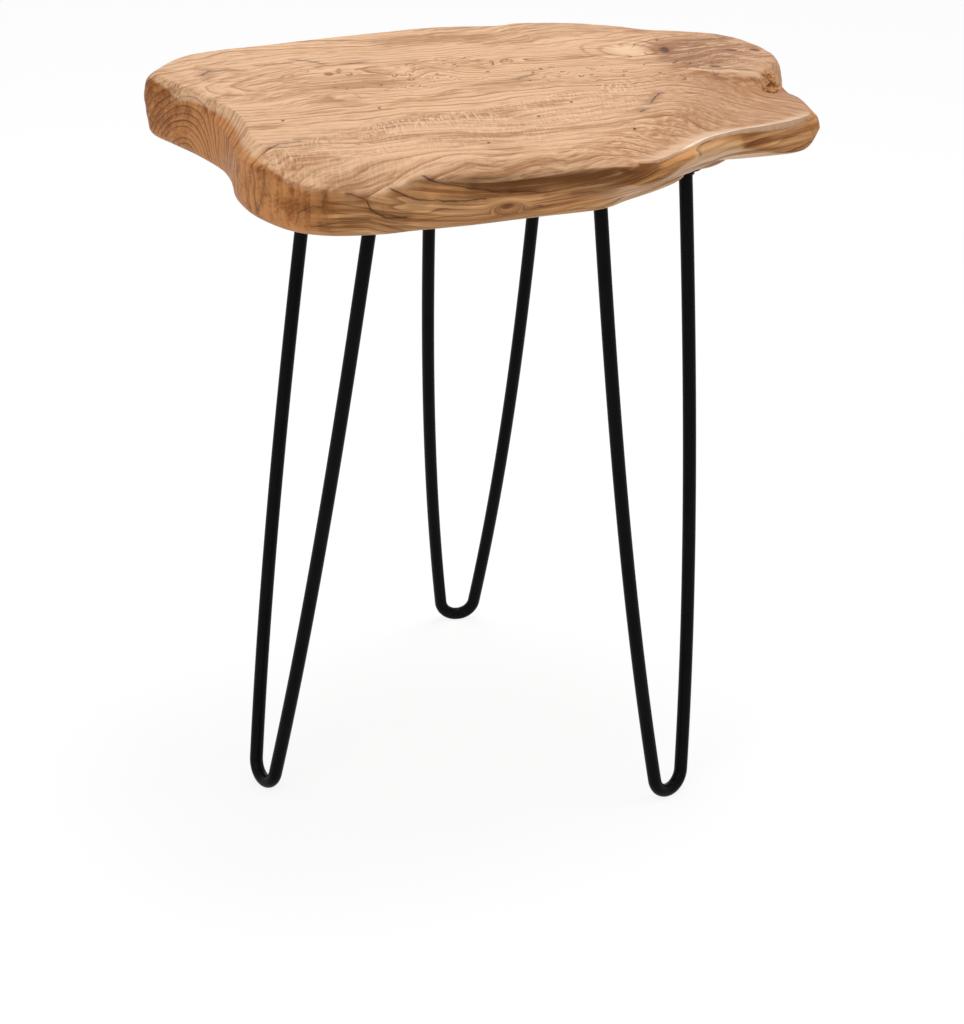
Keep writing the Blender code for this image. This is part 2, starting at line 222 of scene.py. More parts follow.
# The lip: a pale band on its slope, partly pale wood and partly painted highlight, and a near white painted
# highlight on its crest
LIP_SLOPE_PALE_AND_HIGHLIGHT = (0.88, 0.60, 0.40)
LIP_HIGHLIGHT_TINT = (1.0, 0.86, 0.69)
FRONT_KNOT_TINT = (0.12, 0.036, 0.011)
SHADED_TINT = (0.15, 0.056, 0.017)
FLANK_DARK = (0.33, 0.115, 0.034)
BROWNS = ((0.22, 0.078, 0.023), (0.72, 0.35, 0.135))
TANS = ((0.42, 0.185, 0.066), (0.94, 0.53, 0.25))
CHAMFER_TINTS = ((0.42, 0.195, 0.080), (0.92, 0.62, 0.39))
RAW_TINTS = ((0.48, 0.28, 0.15), (0.66, 0.42, 0.25))
PIT_TINTS = ((0.17, 0.058, 0.017), (0.62, 0.31, 0.13))
PAINT_HAZE = (0.0045, 0.0041, 0.0039)
PAINT_RUB = (0.030, 0.028, 0.027)
ZINC_DARK = (0.48, 0.48, 0.47)

# Legs: where the middle of the plate's rod line sits, in metres, and the way the leg leans, in degrees
LEGS = {
    "front_left": (-0.396 * SLAB_SIZE.x / 2, -0.290 * SLAB_SIZE.y / 2, 215.3),
    "front_right": (0.479 * SLAB_SIZE.x / 2, -0.213 * SLAB_SIZE.y / 2, 313.3),
    "rear": (0.019 * SLAB_SIZE.x / 2, 0.632 * SLAB_SIZE.y / 2, 101.4),
}
ROD_SIDES = 28
ARM_STEPS = 60
BEND_STEPS = 16

# Hardware: the weld's ripples and waist, the thread's core as a share of the shank, the straight part of the
# screw's head as a share of its height, the break of its edge, the cross recess, and how near a point has to
# be to count as on a face or on a cut
WELD_SIDES = 56
WELD_STEPS = 6
WELD_RIPPLES = 14
WELD_RIPPLE = 0.10
WELD_WAIST = 0.72
SCREW_SIDES = 24
SCREW_TURN = 0.7
THREAD_CORE = 0.78
HEAD_SIDE = 0.4
HEAD_STEPS = 6
HEAD_BREAK = 0.0002
RECESS_WIDTH = 0.0005
RECESS_REACH = 0.0021
RECESS_DEPTH = 0.0014
RECESS_EDGE = 0.00012
RECESS_TAPER = 0.7
ON_FACE = 1e-5
ON_CUT = 1e-7

# Studio: the floor's own white where it is seen, its share, and how far the camera sees, in metres
FLOOR_GLOW = 1.12
FLOOR_GLOW_SHARE = 0.76
FLOOR_SIDES = 96
FARTHEST_SEEN = 50


def amount(name, description, default, **more):
    return FloatProperty(name=name, description=description, default=default, **more)


def length(name, description, default):
    return amount(name, description, default, unit="LENGTH", precision=4)


def angle(name, description, degrees):
    return amount(name, description, math.radians(degrees), subtype="ANGLE")


def share(name, description, default):
    return amount(name, description, default, subtype="FACTOR", min=0, max=1)


def numbers(name, description, default, **more):
    return FloatVectorProperty(
        name=name, description=description, default=default, size=len(default), **more
    )


def colour(name, description, default):
    return numbers(name, description, default, subtype="COLOR", min=0, max=1)


class SlabSettings(bpy.types.PropertyGroup):
    """Shape and finish of the wood slab."""

    bottom_round: length("Bottom round", "Rounding of the lower edge", 0.007)
    undercut_start: share("Undercut start", "Where on the way down the undercut starts", 0.36)
    belly: length("Belly", "How far the middle of the edge stands out", 0.0012)
    swell: length("Swell", "How far the natural edge swells in and out", 0.0022)
    dip_depth: length("Dip depth", "How far the right front lobe lies below the top", 0.0118)
    dip_start: length("Dip start", "X where the lobe starts to dip", 0.130)
    dip_full: length("Dip full", "X where the lobe is at its full depth", 0.215)
    lip_start: length("Lip start", "Way to the front right where the top starts to fall to the lip", 0.128)
    lip_full: length("Lip full", "Way to the front right where the top has fallen to the lip", 0.172)
    step_place: length("Step place", "Y of the step behind the lobe", 0.068)
    step_width: length("Step width", "Width of the step's slope", 0.012)
    pit_depth: length("Pit depth", "Depth of the rough pit at the notch", 0.0035)
    burl_ripple: length("Burl ripple", "Height of the ripples over the burl", 0.0006)
    rim_height: length("Rim height", "How far the lobe's lip stands up", 0.0012)
    rim_width: length("Rim width", "How far behind the lip the top starts to rise to it", 0.012)
    grain_turn: angle("Grain turn", "Turn of the grain from the slab's length", 25)
    pale: colour("Pale wood", "Lightest colour of the top", (0.83, 0.52, 0.31))
    honey: colour("Honey wood", "Darker colour of the top", (0.46, 0.225, 0.103))
    line: colour("Ring line", "Late wood lines on the top", (0.34, 0.14, 0.055))
    flank: colour("Flank wood", "Usual colour of the edge", (0.66, 0.285, 0.10))
    flank_line: colour("Flank line", "Late wood lines on the edge", (0.13, 0.038, 0.010))
    shake: colour("Shake", "Cracks and pips", (0.075, 0.024, 0.010))


class LegSettings(bpy.types.PropertyGroup):
    """Shape and finish of the hairpin legs."""

    rod_diameter: length("Rod diameter", "Diameter of the bent rod", 0.010)
    bend_radius: length("Bend radius", "Radius of the foot bend at the rod's middle", 0.0144)
    arm_spacing: length("Arm spacing", "Distance between the rod's ends at the plate", 0.0864)
    foot_lean: angle("Foot lean", "Lean of an arm just above the foot", 7.8)
    top_lean: angle("Top lean", "Lean of an arm at the plate", 0.9)
    splay: angle("Splay", "How far the whole leg leans out", 7.8)
    foot_flat: length("Foot flat", "Depth of the flat ground on the foot", 0.001)
    paint: colour("Paint", "Black paint on rods, plates and welds", (0.0022, 0.0020, 0.0019))


class HardwareSettings(bpy.types.PropertyGroup):
    """Plates, welds and screws under the slab."""

    plate_width: length("Plate width", "Width of a mounting plate", 0.046)
    plate_thickness: length("Plate thickness", "Thickness of a mounting plate", 0.003)
    plate_corner: length("Plate corner", "Corner radius of a mounting plate", 0.0105)
    plate_strip: length("Plate strip", "Bare plate left past the welds", 0.0022)
    plate_edge: length("Plate edge", "Rounding of a plate's edges", 0.0004)
    weld_leg: length("Weld leg", "Leg of a weld bead", 0.0035)
    inner_inset: length("Inner screw inset", "Inner screws to the plate's edges", 0.009)
    outer_clearance: length("Outer screw clearance", "Outer screw heads to the welds", 0.008)
    screw_diameter: length("Screw diameter", "Diameter of a screw's shank", 0.0042)
    screw_length: length("Screw length", "Length of a screw below its head", 0.025)
    screw_tip: length("Screw tip", "Length of a screw's point", 0.005)
    thread_pitch: length("Thread pitch", "Distance between the thread's ridges", 0.0018)
    head_diameter: length("Head diameter", "Diameter of a pan head", 0.0085)
    head_height: length("Head height", "Height of a pan head", 0.0027)
    seat_gap: length("Seat gap", "Slack between pieces that touch", 0.0003)
    zinc: colour("Zinc", "Zinc plate on the screws", (0.62, 0.62, 0.60))


class StageSettings(bpy.types.PropertyGroup):
    """Camera, floor and studio light."""

    camera_place: numbers(
        "Camera place", "Where the camera stands", (0.00828, -1.82964, 1.03801), unit="LENGTH"
    )
    camera_pitch: angle("Camera pitch", "How far the camera looks down", 24.859)
    camera_roll: angle("Camera roll", "Turn of the camera about its view", 1.966)
    camera_lens: amount("Lens", "Focal length in millimetres", 93.02)
    camera_shift: numbers("Camera shift", "Shift of the picture", (0.0029, -0.0013))
    floor_radius: length("Floor radius", "Half the width of the floor", 9)
    floor: colour("Floor", "Colour of the floor", (0.93, 0.93, 0.93))
    sky_light: amount("Sky light", "Strength of the even white light", 0.46)
    top_light: amount("Top light", "Power of the soft light overhead in watts", 18)
    side_light: amount("Side light", "Power of the soft light at the left in watts", 9)


class TableSettings(bpy.types.PropertyGroup):
    """Everything that can be set on the table."""

    slab: PointerProperty(type=SlabSettings)
    legs: PointerProperty(type=LegSettings)
    hardware: PointerProperty(type=HardwareSettings)
    stage: PointerProperty(type=StageSettings)


# Shader maths


def maths(operation):
    """A method that joins two values with a Math node."""
    return lambda self, other: self.math(operation, other)


class Value:
    """One output of a node. Arithmetic on it adds Math nodes to the same tree."""

    def __init__(self, shade, socket):
        self.shade = shade
        self.socket = socket

    def math(self, operation, *others):
        return self.shade.node("ShaderNodeMath", {"operation": operation}, [self, *others])

    def __rsub__(self, other):
        return self.shade.node("ShaderNodeMath", {"operation": "SUBTRACT"}, [other, self])

    def __abs__(self):
        return self.math("ABSOLUTE")

    __add__ = __radd__ = maths("ADD")
    __mul__ = __rmul__ = maths("MULTIPLY")
    __sub__ = maths("SUBTRACT")
    __truediv__ = maths("DIVIDE")
    __pow__ = maths("POWER")
    most = maths("MAXIMUM")
    least = maths("MINIMUM")

    def twin(self, output):
        """Another output of the same node."""
        return Value(self.shade, self.socket.node.outputs[output])

    def ramp(self, start, end):
        """0 up to start, 1 from end on, and smooth between them."""
        return self.shade.node(
            "ShaderNodeMapRange",
            {"interpolation_type": "SMOOTHSTEP"},
            {"Value": self, "From Min": start, "From Max": end},
        )


def rgba(values):
    return (*values, 1)


class Shade:
    """The nodes of a material or a world, with one method that adds any node to them."""

    def __init__(self, owner):
        self.owner = owner
        owner.use_nodes = True
        self.tree = owner.node_tree

    def feed(self, socket, value):
        if isinstance(value, Value):
            self.tree.links.new(value.socket, socket)
        else:
            socket.default_value = value

    def node(self, kind, settings=None, inputs=None, output=0):
        node = self.tree.nodes.new(kind)
        for name, value in (settings or {}).items():
            setattr(node, name, value)
        if isinstance(inputs, list):
            inputs = dict(enumerate(inputs))
        for name, value in (inputs or {}).items():
            self.feed(node.inputs[name], value)
        return Value(self, node.outputs[output])

    def finish(self, **inputs):
        """Feeds the Principled shader, where Base_Color stands for Base Color, and gives the material."""
        for name, value in inputs.items():
            self.feed(self.tree.nodes["Principled BSDF"].inputs[name.replace("_", " ")], value)
        return self.owner

    def place(self):
        return self.node("ShaderNodeTexCoord", output="Object")

    def split(self, vector):
        x = self.node("ShaderNodeSeparateXYZ", None, [vector])
        return [x, x.twin("Y"), x.twin("Z")]

    def join(self, x, y, z):
        return self.node("ShaderNodeCombineXYZ", None, [x, y, z])

    def vector(self, operation, *inputs, output=0):
        return self.node("ShaderNodeVectorMath", {"operation": operation}, list(inputs), output)

    def noise(self, vector, scale, detail=2.0, roughness=0.5, output="Fac"):
        return self.node(
            "ShaderNodeTexNoise",
            None,
            {"Vector": vector, "Scale": scale, "Detail": detail, "Roughness": roughness},
            output,
        )

    def warp(self, vector, scale):
        """Noise in three directions, each about -0.5 to 0.5."""
        return self.vector("SUBTRACT", self.noise(vector, scale, 2, output="Color"), (0.5, 0.5, 0.5))

    def mix(self, factor, first, second):
        return self.node(
            "ShaderNodeMix", {"data_type": "RGBA", "clamp_factor": True}, {0: factor, 6: first, 7: second}, 2
        )

    def between(self, factor, colours):
        """From the first to the second of two plain colours."""
        return self.mix(factor, *map(rgba, colours))

    def layers(self, base, *coats):
        """The base with plain colours laid over it in turn, each given after its mask."""
        for mask, tint in coats:
            base = self.mix(mask, base, rgba(tint))
        return base

    def attribute(self, name):
        return self.node("ShaderNodeAttribute", {"attribute_name": name}, output="Fac")

    def bump(self, height, distance, strength=1.0):
        inputs = {"Height": height, "Distance": distance, "Strength": strength}
        return self.node("ShaderNodeBump", None, inputs)

    def near_line(self, vector, points):
        """Distance from the vector to the line through the points, in its X and Y."""
        nearest = None
        for start, end in zip(points, points[1:]):
            run = Vector(end) - Vector(start)
            out = self.vector("SUBTRACT", vector, (*start, 0))
            along = self.vector("DOT_PRODUCT", out, (*(run / run.length_squared), 0), output="Value")
            along = along.most(0).least(1)
            reach = self.node("ShaderNodeVectorMath", {"operation": "SCALE"}, {0: (*run, 0), "Scale": along})
            away = self.vector("LENGTH", self.vector("SUBTRACT", out, reach), output="Value")
            nearest = away if nearest is None else nearest.least(away)
        return nearest


def new_material(name):
    return Shade(bpy.data.materials.new(name))


# Shared by the pieces


def smooth(value, start, end):
    part = min(max((value - start) / (end - start), 0), 1)
    return part * part * (3 - 2 * part)


def draw_out(bm, ring):
    """Extrudes a ring of edges, and gives the new points and the new ring."""
    made = bmesh.ops.extrude_edge_only(bm, edges=ring)["geom"]
    points = [item for item in made if isinstance(item, bmesh.types.BMVert)]
    known = set(points)
    edges = [item for item in made if isinstance(item, bmesh.types.BMEdge)]
    return points, [edge for edge in edges if known.issuperset(edge.verts)]


def add_piece(name, bm, material, replaced, sharp_angle=40):
    """Makes the piece's object, rides it on the frame and hides the node that it stands for."""
    mesh = bpy.data.meshes.new(name)
    bm.to_mesh(mesh)
    bm.free()
    mesh.shade_smooth()
    mesh.set_sharp_from_angle(angle=math.radians(sharp_angle))
    mesh.materials.append(material)
    piece = bpy.data.objects.new(name, mesh)
    bpy.context.scene.collection.objects.link(piece)
    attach(piece, "root")
    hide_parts(replaced)


# The slab


def outline_curve(position):
    """The closed smooth curve through the outline's points, with position running from 0 to 1."""
    count = len(OUTLINE)
    spot = position * count
    index = int(spot)
    part = spot - index
    a, b, c, d = (Vector(OUTLINE[(index + step) % count]) for step in (-1, 0, 1, 2))
    return 0.5 * (
        2 * b + (c - a) * part + (2 * a - 5 * b + 4 * c - d) * part**2 + (3 * b - a - 3 * c + d) * part**3
    )


def edge_columns():
    """Evenly spaced edge rows in metres, fitted to the slab's box in the frame."""
    count = FINE_STEPS * len(OUTLINE)
    fine = [outline_curve(step / count) for step in range(count)]
    lengths = [0.0]
    for here, there in zip(fine, fine[1:] + fine[:1]):
        lengths.append(lengths[-1] + Vector((there - here)[:2]).length)
    columns = []
    step = 0
    for column in range(EDGE_COLUMNS):
        wanted = lengths[-1] * column / EDGE_COLUMNS
        while lengths[step + 1] < wanted:
            step += 1
        part = (wanted - lengths[step]) / (lengths[step + 1] - lengths[step])
        columns.append(fine[step].lerp(fine[(step + 1) % count], part))
    for axis in (0, 1):
        low = min(row[axis] for row in columns)
        high = max(row[axis] for row in columns)
        for row in columns:
            row[axis] = SLAB_LOW[axis] + (row[axis] - low) / (high - low) * SLAB_SIZE[axis]
    for row in columns:
        for size in (DROP, UNDERCUT, CREST):
            row[size] = max(row[size], 0) * MM
    return columns


def inward(edge, inset):
    """The edge's plan position, moved this far to the slab's middle."""
    flat = Vector(edge[:2])
    return flat * ((flat.length - inset) / flat.length)


def lip_share(edge):
    """1 where the edge is a hollow under a lip."""
    return max(-edge[BOW], 0)


def roll_share(edge):
    """How far the top's colour rolls over the crest."""
    return 0.5 * smooth(edge[BOW], 0.6, 0.8) * (1 - smooth(edge[BOW], 0.95, 1.2))


def chamfer_share(edge):
    """1 where the undercut is deep enough to read as a pale chamfer."""
    return smooth(edge[UNDERCUT], 10 * MM, 24 * MM)


class SlabShape:
    """The slab's surface. Each part of it gives the place and the marks of a point there, by the turn round
    the slab's middle and by the way from the part's start (0) to its end (1)."""

    def __init__(self, settings):
        self.settings = settings
        self.columns = edge_columns()

    def edge(self, turn):
        spot = turn % 1 * EDGE_COLUMNS
        index = int(spot)
        return self.columns[index % EDGE_COLUMNS].lerp(self.columns[(index + 1) % EDGE_COLUMNS], spot - index)

    def pit(self, x, y):
        """1 in the middle of the rough pit beside the notch."""
        away = math.hypot((x - PIT[0]) / PIT[2], (y - PIT[1]) / PIT[3])
        return 1 - smooth(away, 0.45, 1)

    def top(self, x, y):
        """Height of the top at this plan position."""
        s = self.settings
        to_right = smooth(x, s.dip_start, s.dip_full)
        to_lip = smooth(LIP_WAY[0] * x + LIP_WAY[1] * y, s.lip_start, s.lip_full)
        before_step = smooth(s.step_place - y, -s.step_width / 2, s.step_width / 2)
        dip = s.dip_depth * before_step * (1 - (1 - to_right) * (1 - to_lip))
        rough = 1 + 0.5 * noise.noise((x * 260, y * 260, 3))
        burl = smooth(x, 0.13, 0.17) * smooth(y, 0.06, 0.09)
        ripple = s.burl_ripple * burl * noise.noise((x * 70, y * 110, 9))
        return SLAB_HIGH.z - dip - s.pit_depth * self.pit(x, y) * rough + ripple

    def rim(self, edge, inside):
        """How far the lobe's lip stands up this far inside the crest's inner border."""
        return self.settings.rim_height * lip_share(edge) * (1 - smooth(inside, 0, self.settings.rim_width))

    def widest(self, edge):
        """Height of the edge's widest line, a little below the top wherever the top dips."""
        return min(SLAB_HIGH.z - edge[DROP], self.top(edge[0], edge[1]) - 2 * MM)

    def flat_top(self, turn, part):
        """From the middle of the top to its border."""
        edge = self.edge(turn)
        flat = Vector(edge[:2])
        border = flat.length - edge[CREST]
        spot = flat * (part * border / flat.length)
        height = self.top(*spot) + self.rim(edge, border * (1 - part))
        return (*spot, height), {"pit": self.pit(*spot), "lip": lip_share(edge) * smooth(part, 0.92, 1)}

    def crest(self, turn, part):
        """From the top's border out and down to the edge's widest line."""
        edge = self.edge(turn)
        bow = edge[BOW]
        spot = inward(edge, edge[CREST] * (1 - part))
        fall = 1 - math.sqrt(max(1 - part * part, 0))
        if bow > 0:
            fall += (part ** (1.5 - 0.5 * max(bow - 1, 0)) - fall) * min(bow, 1)
        else:
            fall += (0.5 - math.sin(math.asin(1 - 2 * part) / 3) - fall) * -bow
        start = self.top(*spot) + self.rim(edge, 0)
        pale_until = min(0.9 * max(bow, 0), max(1.7 - 0.85 * bow, 0))
        marks = {
            "side": smooth(part, pale_until, 1 if bow > 0 else 0.3) * (1 - roll_share(edge)),
            "pit": self.pit(*spot),
            "lip": lip_share(edge) * (1 - smooth(part, 0.04, 0.16)),
        }
        return (*spot, start + (self.widest(edge) - start) * fall), marks

    def side(self, turn, part):
        """From the edge's widest line down to the start of the bottom rounding."""
        s = self.settings
        edge = self.edge(turn)
        widest = self.widest(edge)
        height = widest + (SLAB_LOW.z + s.bottom_round - widest) * part
        lip = lip_share(edge)
        start = s.undercut_start * (1 - lip)
        inset = edge[UNDERCUT] * (max(part - start, 0) / (1 - start)) ** (1 + 0.8 * lip)
        swell = noise.noise((edge[0] * 22, edge[1] * 22, height * 30))
        swell += 0.45 * noise.noise((edge[0] * 60, edge[1] * 60, height * 110))
        out = (s.swell * swell + s.belly) * math.sin(math.pi * part)
        marks = {
            "side": 1 - roll_share(edge) * (1 - smooth(part, 0, 0.3)),
            "chamfer": chamfer_share(edge) * smooth(part, 0.3 - 0.27 * lip, 0.5 - 0.32 * lip),
        }
        return (*inward(edge, inset - out), height), marks

    def bottom_round(self, turn, part):
        """Round the lower edge, from the side to the flat underside."""
        edge = self.edge(turn)
        bend = part * math.pi / 2
        size = self.settings.bottom_round
        spot = inward(edge, edge[UNDERCUT] + size * (1 - math.cos(bend)))
        height = SLAB_LOW.z + size * (1 - math.sin(bend))
        return (*spot, height), {"side": 1, "chamfer": chamfer_share(edge), "under": part}

    def underside(self, turn, part):
        """From the middle of the flat underside to its border."""
        (x, y, _), _ = self.bottom_round(turn, 1)
        return (x * part, y * part, SLAB_LOW.z), {"side": 1, "under": 1}


def square_place(vert):
    """A grid point's turn round the middle, from 0 to 1, and its share of the way out."""
    a, b = vert.co.x, vert.co.y
    out = max(abs(a), abs(b))
    if out < CLOSE:
        return 0, 0
    if a >= out - CLOSE:
        turn = b / out / 8
    elif b >= out - CLOSE:
        turn = (2 - a / out) / 8
    elif a <= CLOSE - out:
        turn = (4 - b / out) / 8
    else:
        turn = (6 + a / out) / 8
    return turn % 1, out


def make_slab_mesh(settings):
    """A grid laid over the top, its border drawn out and down ring by ring, and a grid underneath."""
    shape = SlabShape(settings)
    bm = bmesh.new()
    turns = bm.verts.layers.float.new("turn")
    layers = {name: bm.verts.layers.float.new(name) for name in SLAB_MARKS}

    def lay(vert, turn, part, surface):
        vert.co, marks = surface(turn, part)
        for name, layer in layers.items():
            vert[layer] = marks.get(name, 0)

    def lay_grid(surface):
        made = bmesh.ops.create_grid(bm, x_segments=2 * TOP_SQUARES, y_segments=2 * TOP_SQUARES, size=1)
        for vert in made["verts"]:
            turn, part = square_place(vert)
            vert[turns] = turn
            lay(vert, turn, part, surface)

    lay_grid(shape.flat_top)
    ring = [edge for edge in bm.edges if edge.is_boundary]
    for count, surface in (
        (CREST_RINGS, shape.crest),
        (SIDE_RINGS, shape.side),
        (ROUND_RINGS, shape.bottom_round),
    ):
        for step in range(1, count + 1):
            verts, ring = draw_out(bm, ring)
            for vert in verts:
                lay(vert, vert[turns], step / count, surface)
    lay_grid(shape.underside)
    bmesh.ops.remove_doubles(bm, verts=bm.verts, dist=CLOSE)
    bmesh.ops.recalc_face_normals(bm, faces=bm.faces)
    return bm


def dome(across, up):
    """1 in the middle of an ellipse, falling to 0 at its rim, from the shares of the way to the rim."""
    return (1 - across * across - up * up).most(0)


class Grain:
    """The wood's grain: rings round a heart that runs with the grain and rises through the top at the eye."""

    def __init__(self, wood, turn):
        self.wood = wood
        self.place = wood.place()
        self.x, self.y, self.z = wood.split(self.place)
        self.side, self.chamfer, self.under, self.pit, self.lip = map(wood.attribute, SLAB_MARKS)
        self.wide, self.fine, self.tiny = (wood.split(wood.warp(self.place, size)) for size in (7, 34, 150))
        past = (self.x - BEND_START).most(0)
        bend = past * past * BEND * (1 - self.y.ramp(0.05, 0.10))
        across = (self.y + bend) * math.cos(turn) - self.x * math.sin(turn) - HEART_BACK
        self.along = self.x * math.cos(turn) + self.y * math.sin(turn)
        self.across = across + self.wide[1] * 0.06 + self.fine[1] * 0.008
        above = self.z - HEART_RISE * self.along - HEART_HEIGHT
        self.above = above + self.wide[2] * 0.022 + self.fine[2] * 0.005
        self.blotch = wood.noise(self.place, 11, 3, 0.55)
        self.streak = self.run(5, 75)
        self.fibre = self.run(16, 430)
        self.before = 1 - self.y.ramp(-0.03, 0.03)
        self.front = (self.before * self.x.ramp(-0.12, -0.08)).most(self.y.ramp(0.065, 0.095))
        sag = (self.x - FRONT_LOWEST).most(FRONT_REACH[0]).least(FRONT_REACH[1])
        knot_across = (self.x - FRONT_KNOT[0]) / FRONT_KNOT_SIZE[0]
        knot_up = (self.z - FRONT_KNOT[1]) / FRONT_KNOT_SIZE[1]
        knot = dome(knot_across, knot_up) * self.before
        self.knot = knot.ramp(0.86, 0.99)
        self.flow = self.z - sag * sag * FRONT_SAG + self.fine[2] * 0.002 - knot * knot * 0.012
        self.thread = self.drift(9, 240, 3, 0.65)
        self.eyes, self.curls = self.bird_eyes()
        self.ticks, self.tick_gaps = self.cross_ticks()
        self.rings()

    def run(self, along, across):
        """Noise drawn out along the grain."""
        place = self.wood.join(self.along * along, self.across * across, self.above * across)
        return self.wood.noise(place, 1, 3, 0.6)

    def drift(self, around, up, detail, roughness=0.5):
        """Noise drawn out along the flow of the edge."""
        place = self.wood.join(self.x * around, self.y * around, self.flow * up)
        return self.wood.noise(place, 1, detail, roughness)

    def near_spot(self, x, y, half_length, half_depth, wobble=0.004):
        """Distance from a spot on the top, 1 at the rim of the ellipse round it."""
        across = (self.x - x + self.fine[0] * wobble) / half_length
        back = (self.y - y + self.fine[1] * wobble * 1.5) / half_depth
        return (across * across + back * back) ** 0.5

    def bird_eyes(self):
        """Dark crescents in a loose band over the middle, and the bend that they give to the rings."""
        wood = self.wood
        band = 1 - wood.near_line(wood.join(self.x, self.y, 0), EYE_BAND).ramp(0.014, 0.042)
        band = band.most(1 - self.near_spot(*BURL_EYES, 0.02).ramp(0.6, 1.0))
        cells = wood.join(self.x * 140 + self.fine[0] * 2, self.y * 84 + self.fine[1] * 2, 0)
        away = wood.node("ShaderNodeTexVoronoi", None, {"Vector": cells, "Scale": 1.0, "Randomness": 1.0})
        luck, tilt, _ = wood.split(away.twin("Color"))
        out = wood.split(wood.vector("SUBTRACT", cells, away.twin("Position")))
        lean = out[0] * (tilt - 0.2) - out[1] * (1.1 - tilt)
        size = 0.10 + 0.22 * luck * luck + self.tiny[0] * 0.10
        ring = abs((away - size) / 0.075)
        crescent = (1 - ring.ramp(0.5, 1.3)) * lean.ramp(-0.04, 0.10)
        dot = 1 - (away / 0.11).ramp(0.6, 1.2)
        here = band * luck.ramp(0.30, 0.36) * (1 - self.side)
        return crescent.most(dot * tilt.ramp(0.4, 0.6)) * here, (1 - away.ramp(0.0, 0.6)) * here

    def cross_ticks(self):
        """Fine pale ticks across the grain, and their gaps: sharp along one line and fading to the front."""
        wood = self.wood
        middle = (self.x - TICK_BOW_MIDDLE) / TICK_BOW_HALF
        bow = (1 - middle * middle).most(0) * TICK_BOW
        out = (self.x - TICK_POINT[0]) * TICK_WAY[0] + (self.y - TICK_POINT[1]) * TICK_WAY[1]
        out = out + bow + self.fine[1] * 0.012
        band = out.ramp(-0.003, 0.003) * (1 - 0.6 * out.ramp(0.008, 0.03)) * (1 - out.ramp(0.045, 0.11))
        band = band * (1 - self.x.ramp(0.09, 0.14)) * (1 - self.side)
        band = band * (0.25 + 0.75 * wood.noise(self.place, 30, 2).ramp(0.40, 0.58))
        place = wood.join(self.x * 700 + self.y * 120 + self.fine[0] * 6, self.y * 80 - self.x * 30, 0)
        hatch = wood.noise(place, 1, 1, 0.4)
        return hatch.ramp(0.52, 0.62) * band, (1 - hatch.ramp(0.36, 0.47)) * band

    def swirls(self):
        """Rings added to the grain where it closes round an eye or a hidden branch."""
        added = 0
        for x, y, half_length, half_depth, degrees, rings in SWIRLS:
            turn = math.radians(degrees)
            right = self.x - x + self.fine[0] * 0.006
            back = self.y - y + self.fine[1] * 0.009
            along = (right * math.cos(turn) + back * math.sin(turn)) / half_length
            across = (back * math.cos(turn) - right * math.sin(turn)) / half_depth
            inside = dome(along, across)
            added = inside * inside * rings + added
        return added

    def rings(self):
        """Late wood lines: uneven ones on the top, even ones on the edge, and hair lines between them."""
        radius = (self.across * self.across + self.above * self.above) ** 0.5
        phase = 30 * (1 + radius / 0.12).math("LOGARITHM", math.e)
        phase = phase + self.wide[0] * 1.4 + self.fine[0] * 0.35
        self.flank_line = self.late_lines(phase)[1]
        phase = phase + self.curls * 1.3 + self.swirls() * (1 - self.side)
        self.line = self.late_lines(phase)[0]
        self.hair_line = self.late_lines(phase * 3.3 + self.fine[1])[0]

    def late_lines(self, phase):
        """Two sets of thin dark lines where the phase passes a whole number: uneven ones and strong ones."""
        ring = phase.math("FRACT")
        whole = phase.math("FLOOR")
        own = self.wood.node("ShaderNodeTexWhiteNoise", {"noise_dimensions": "1D"}, {"W": whole})
        broad = ring.ramp(0.2, 0.95) * 0.35
        thin = ring.ramp(0.74, 0.93) * 0.65
        line = (broad + thin) * (1 - ring.ramp(0.95, 1.0))
        patchy = 0.35 + 0.65 * self.streak.ramp(0.38, 0.58)
        return line * (0.3 + 0.8 * own * own) * patchy, line * (0.4 + 0.6 * own)


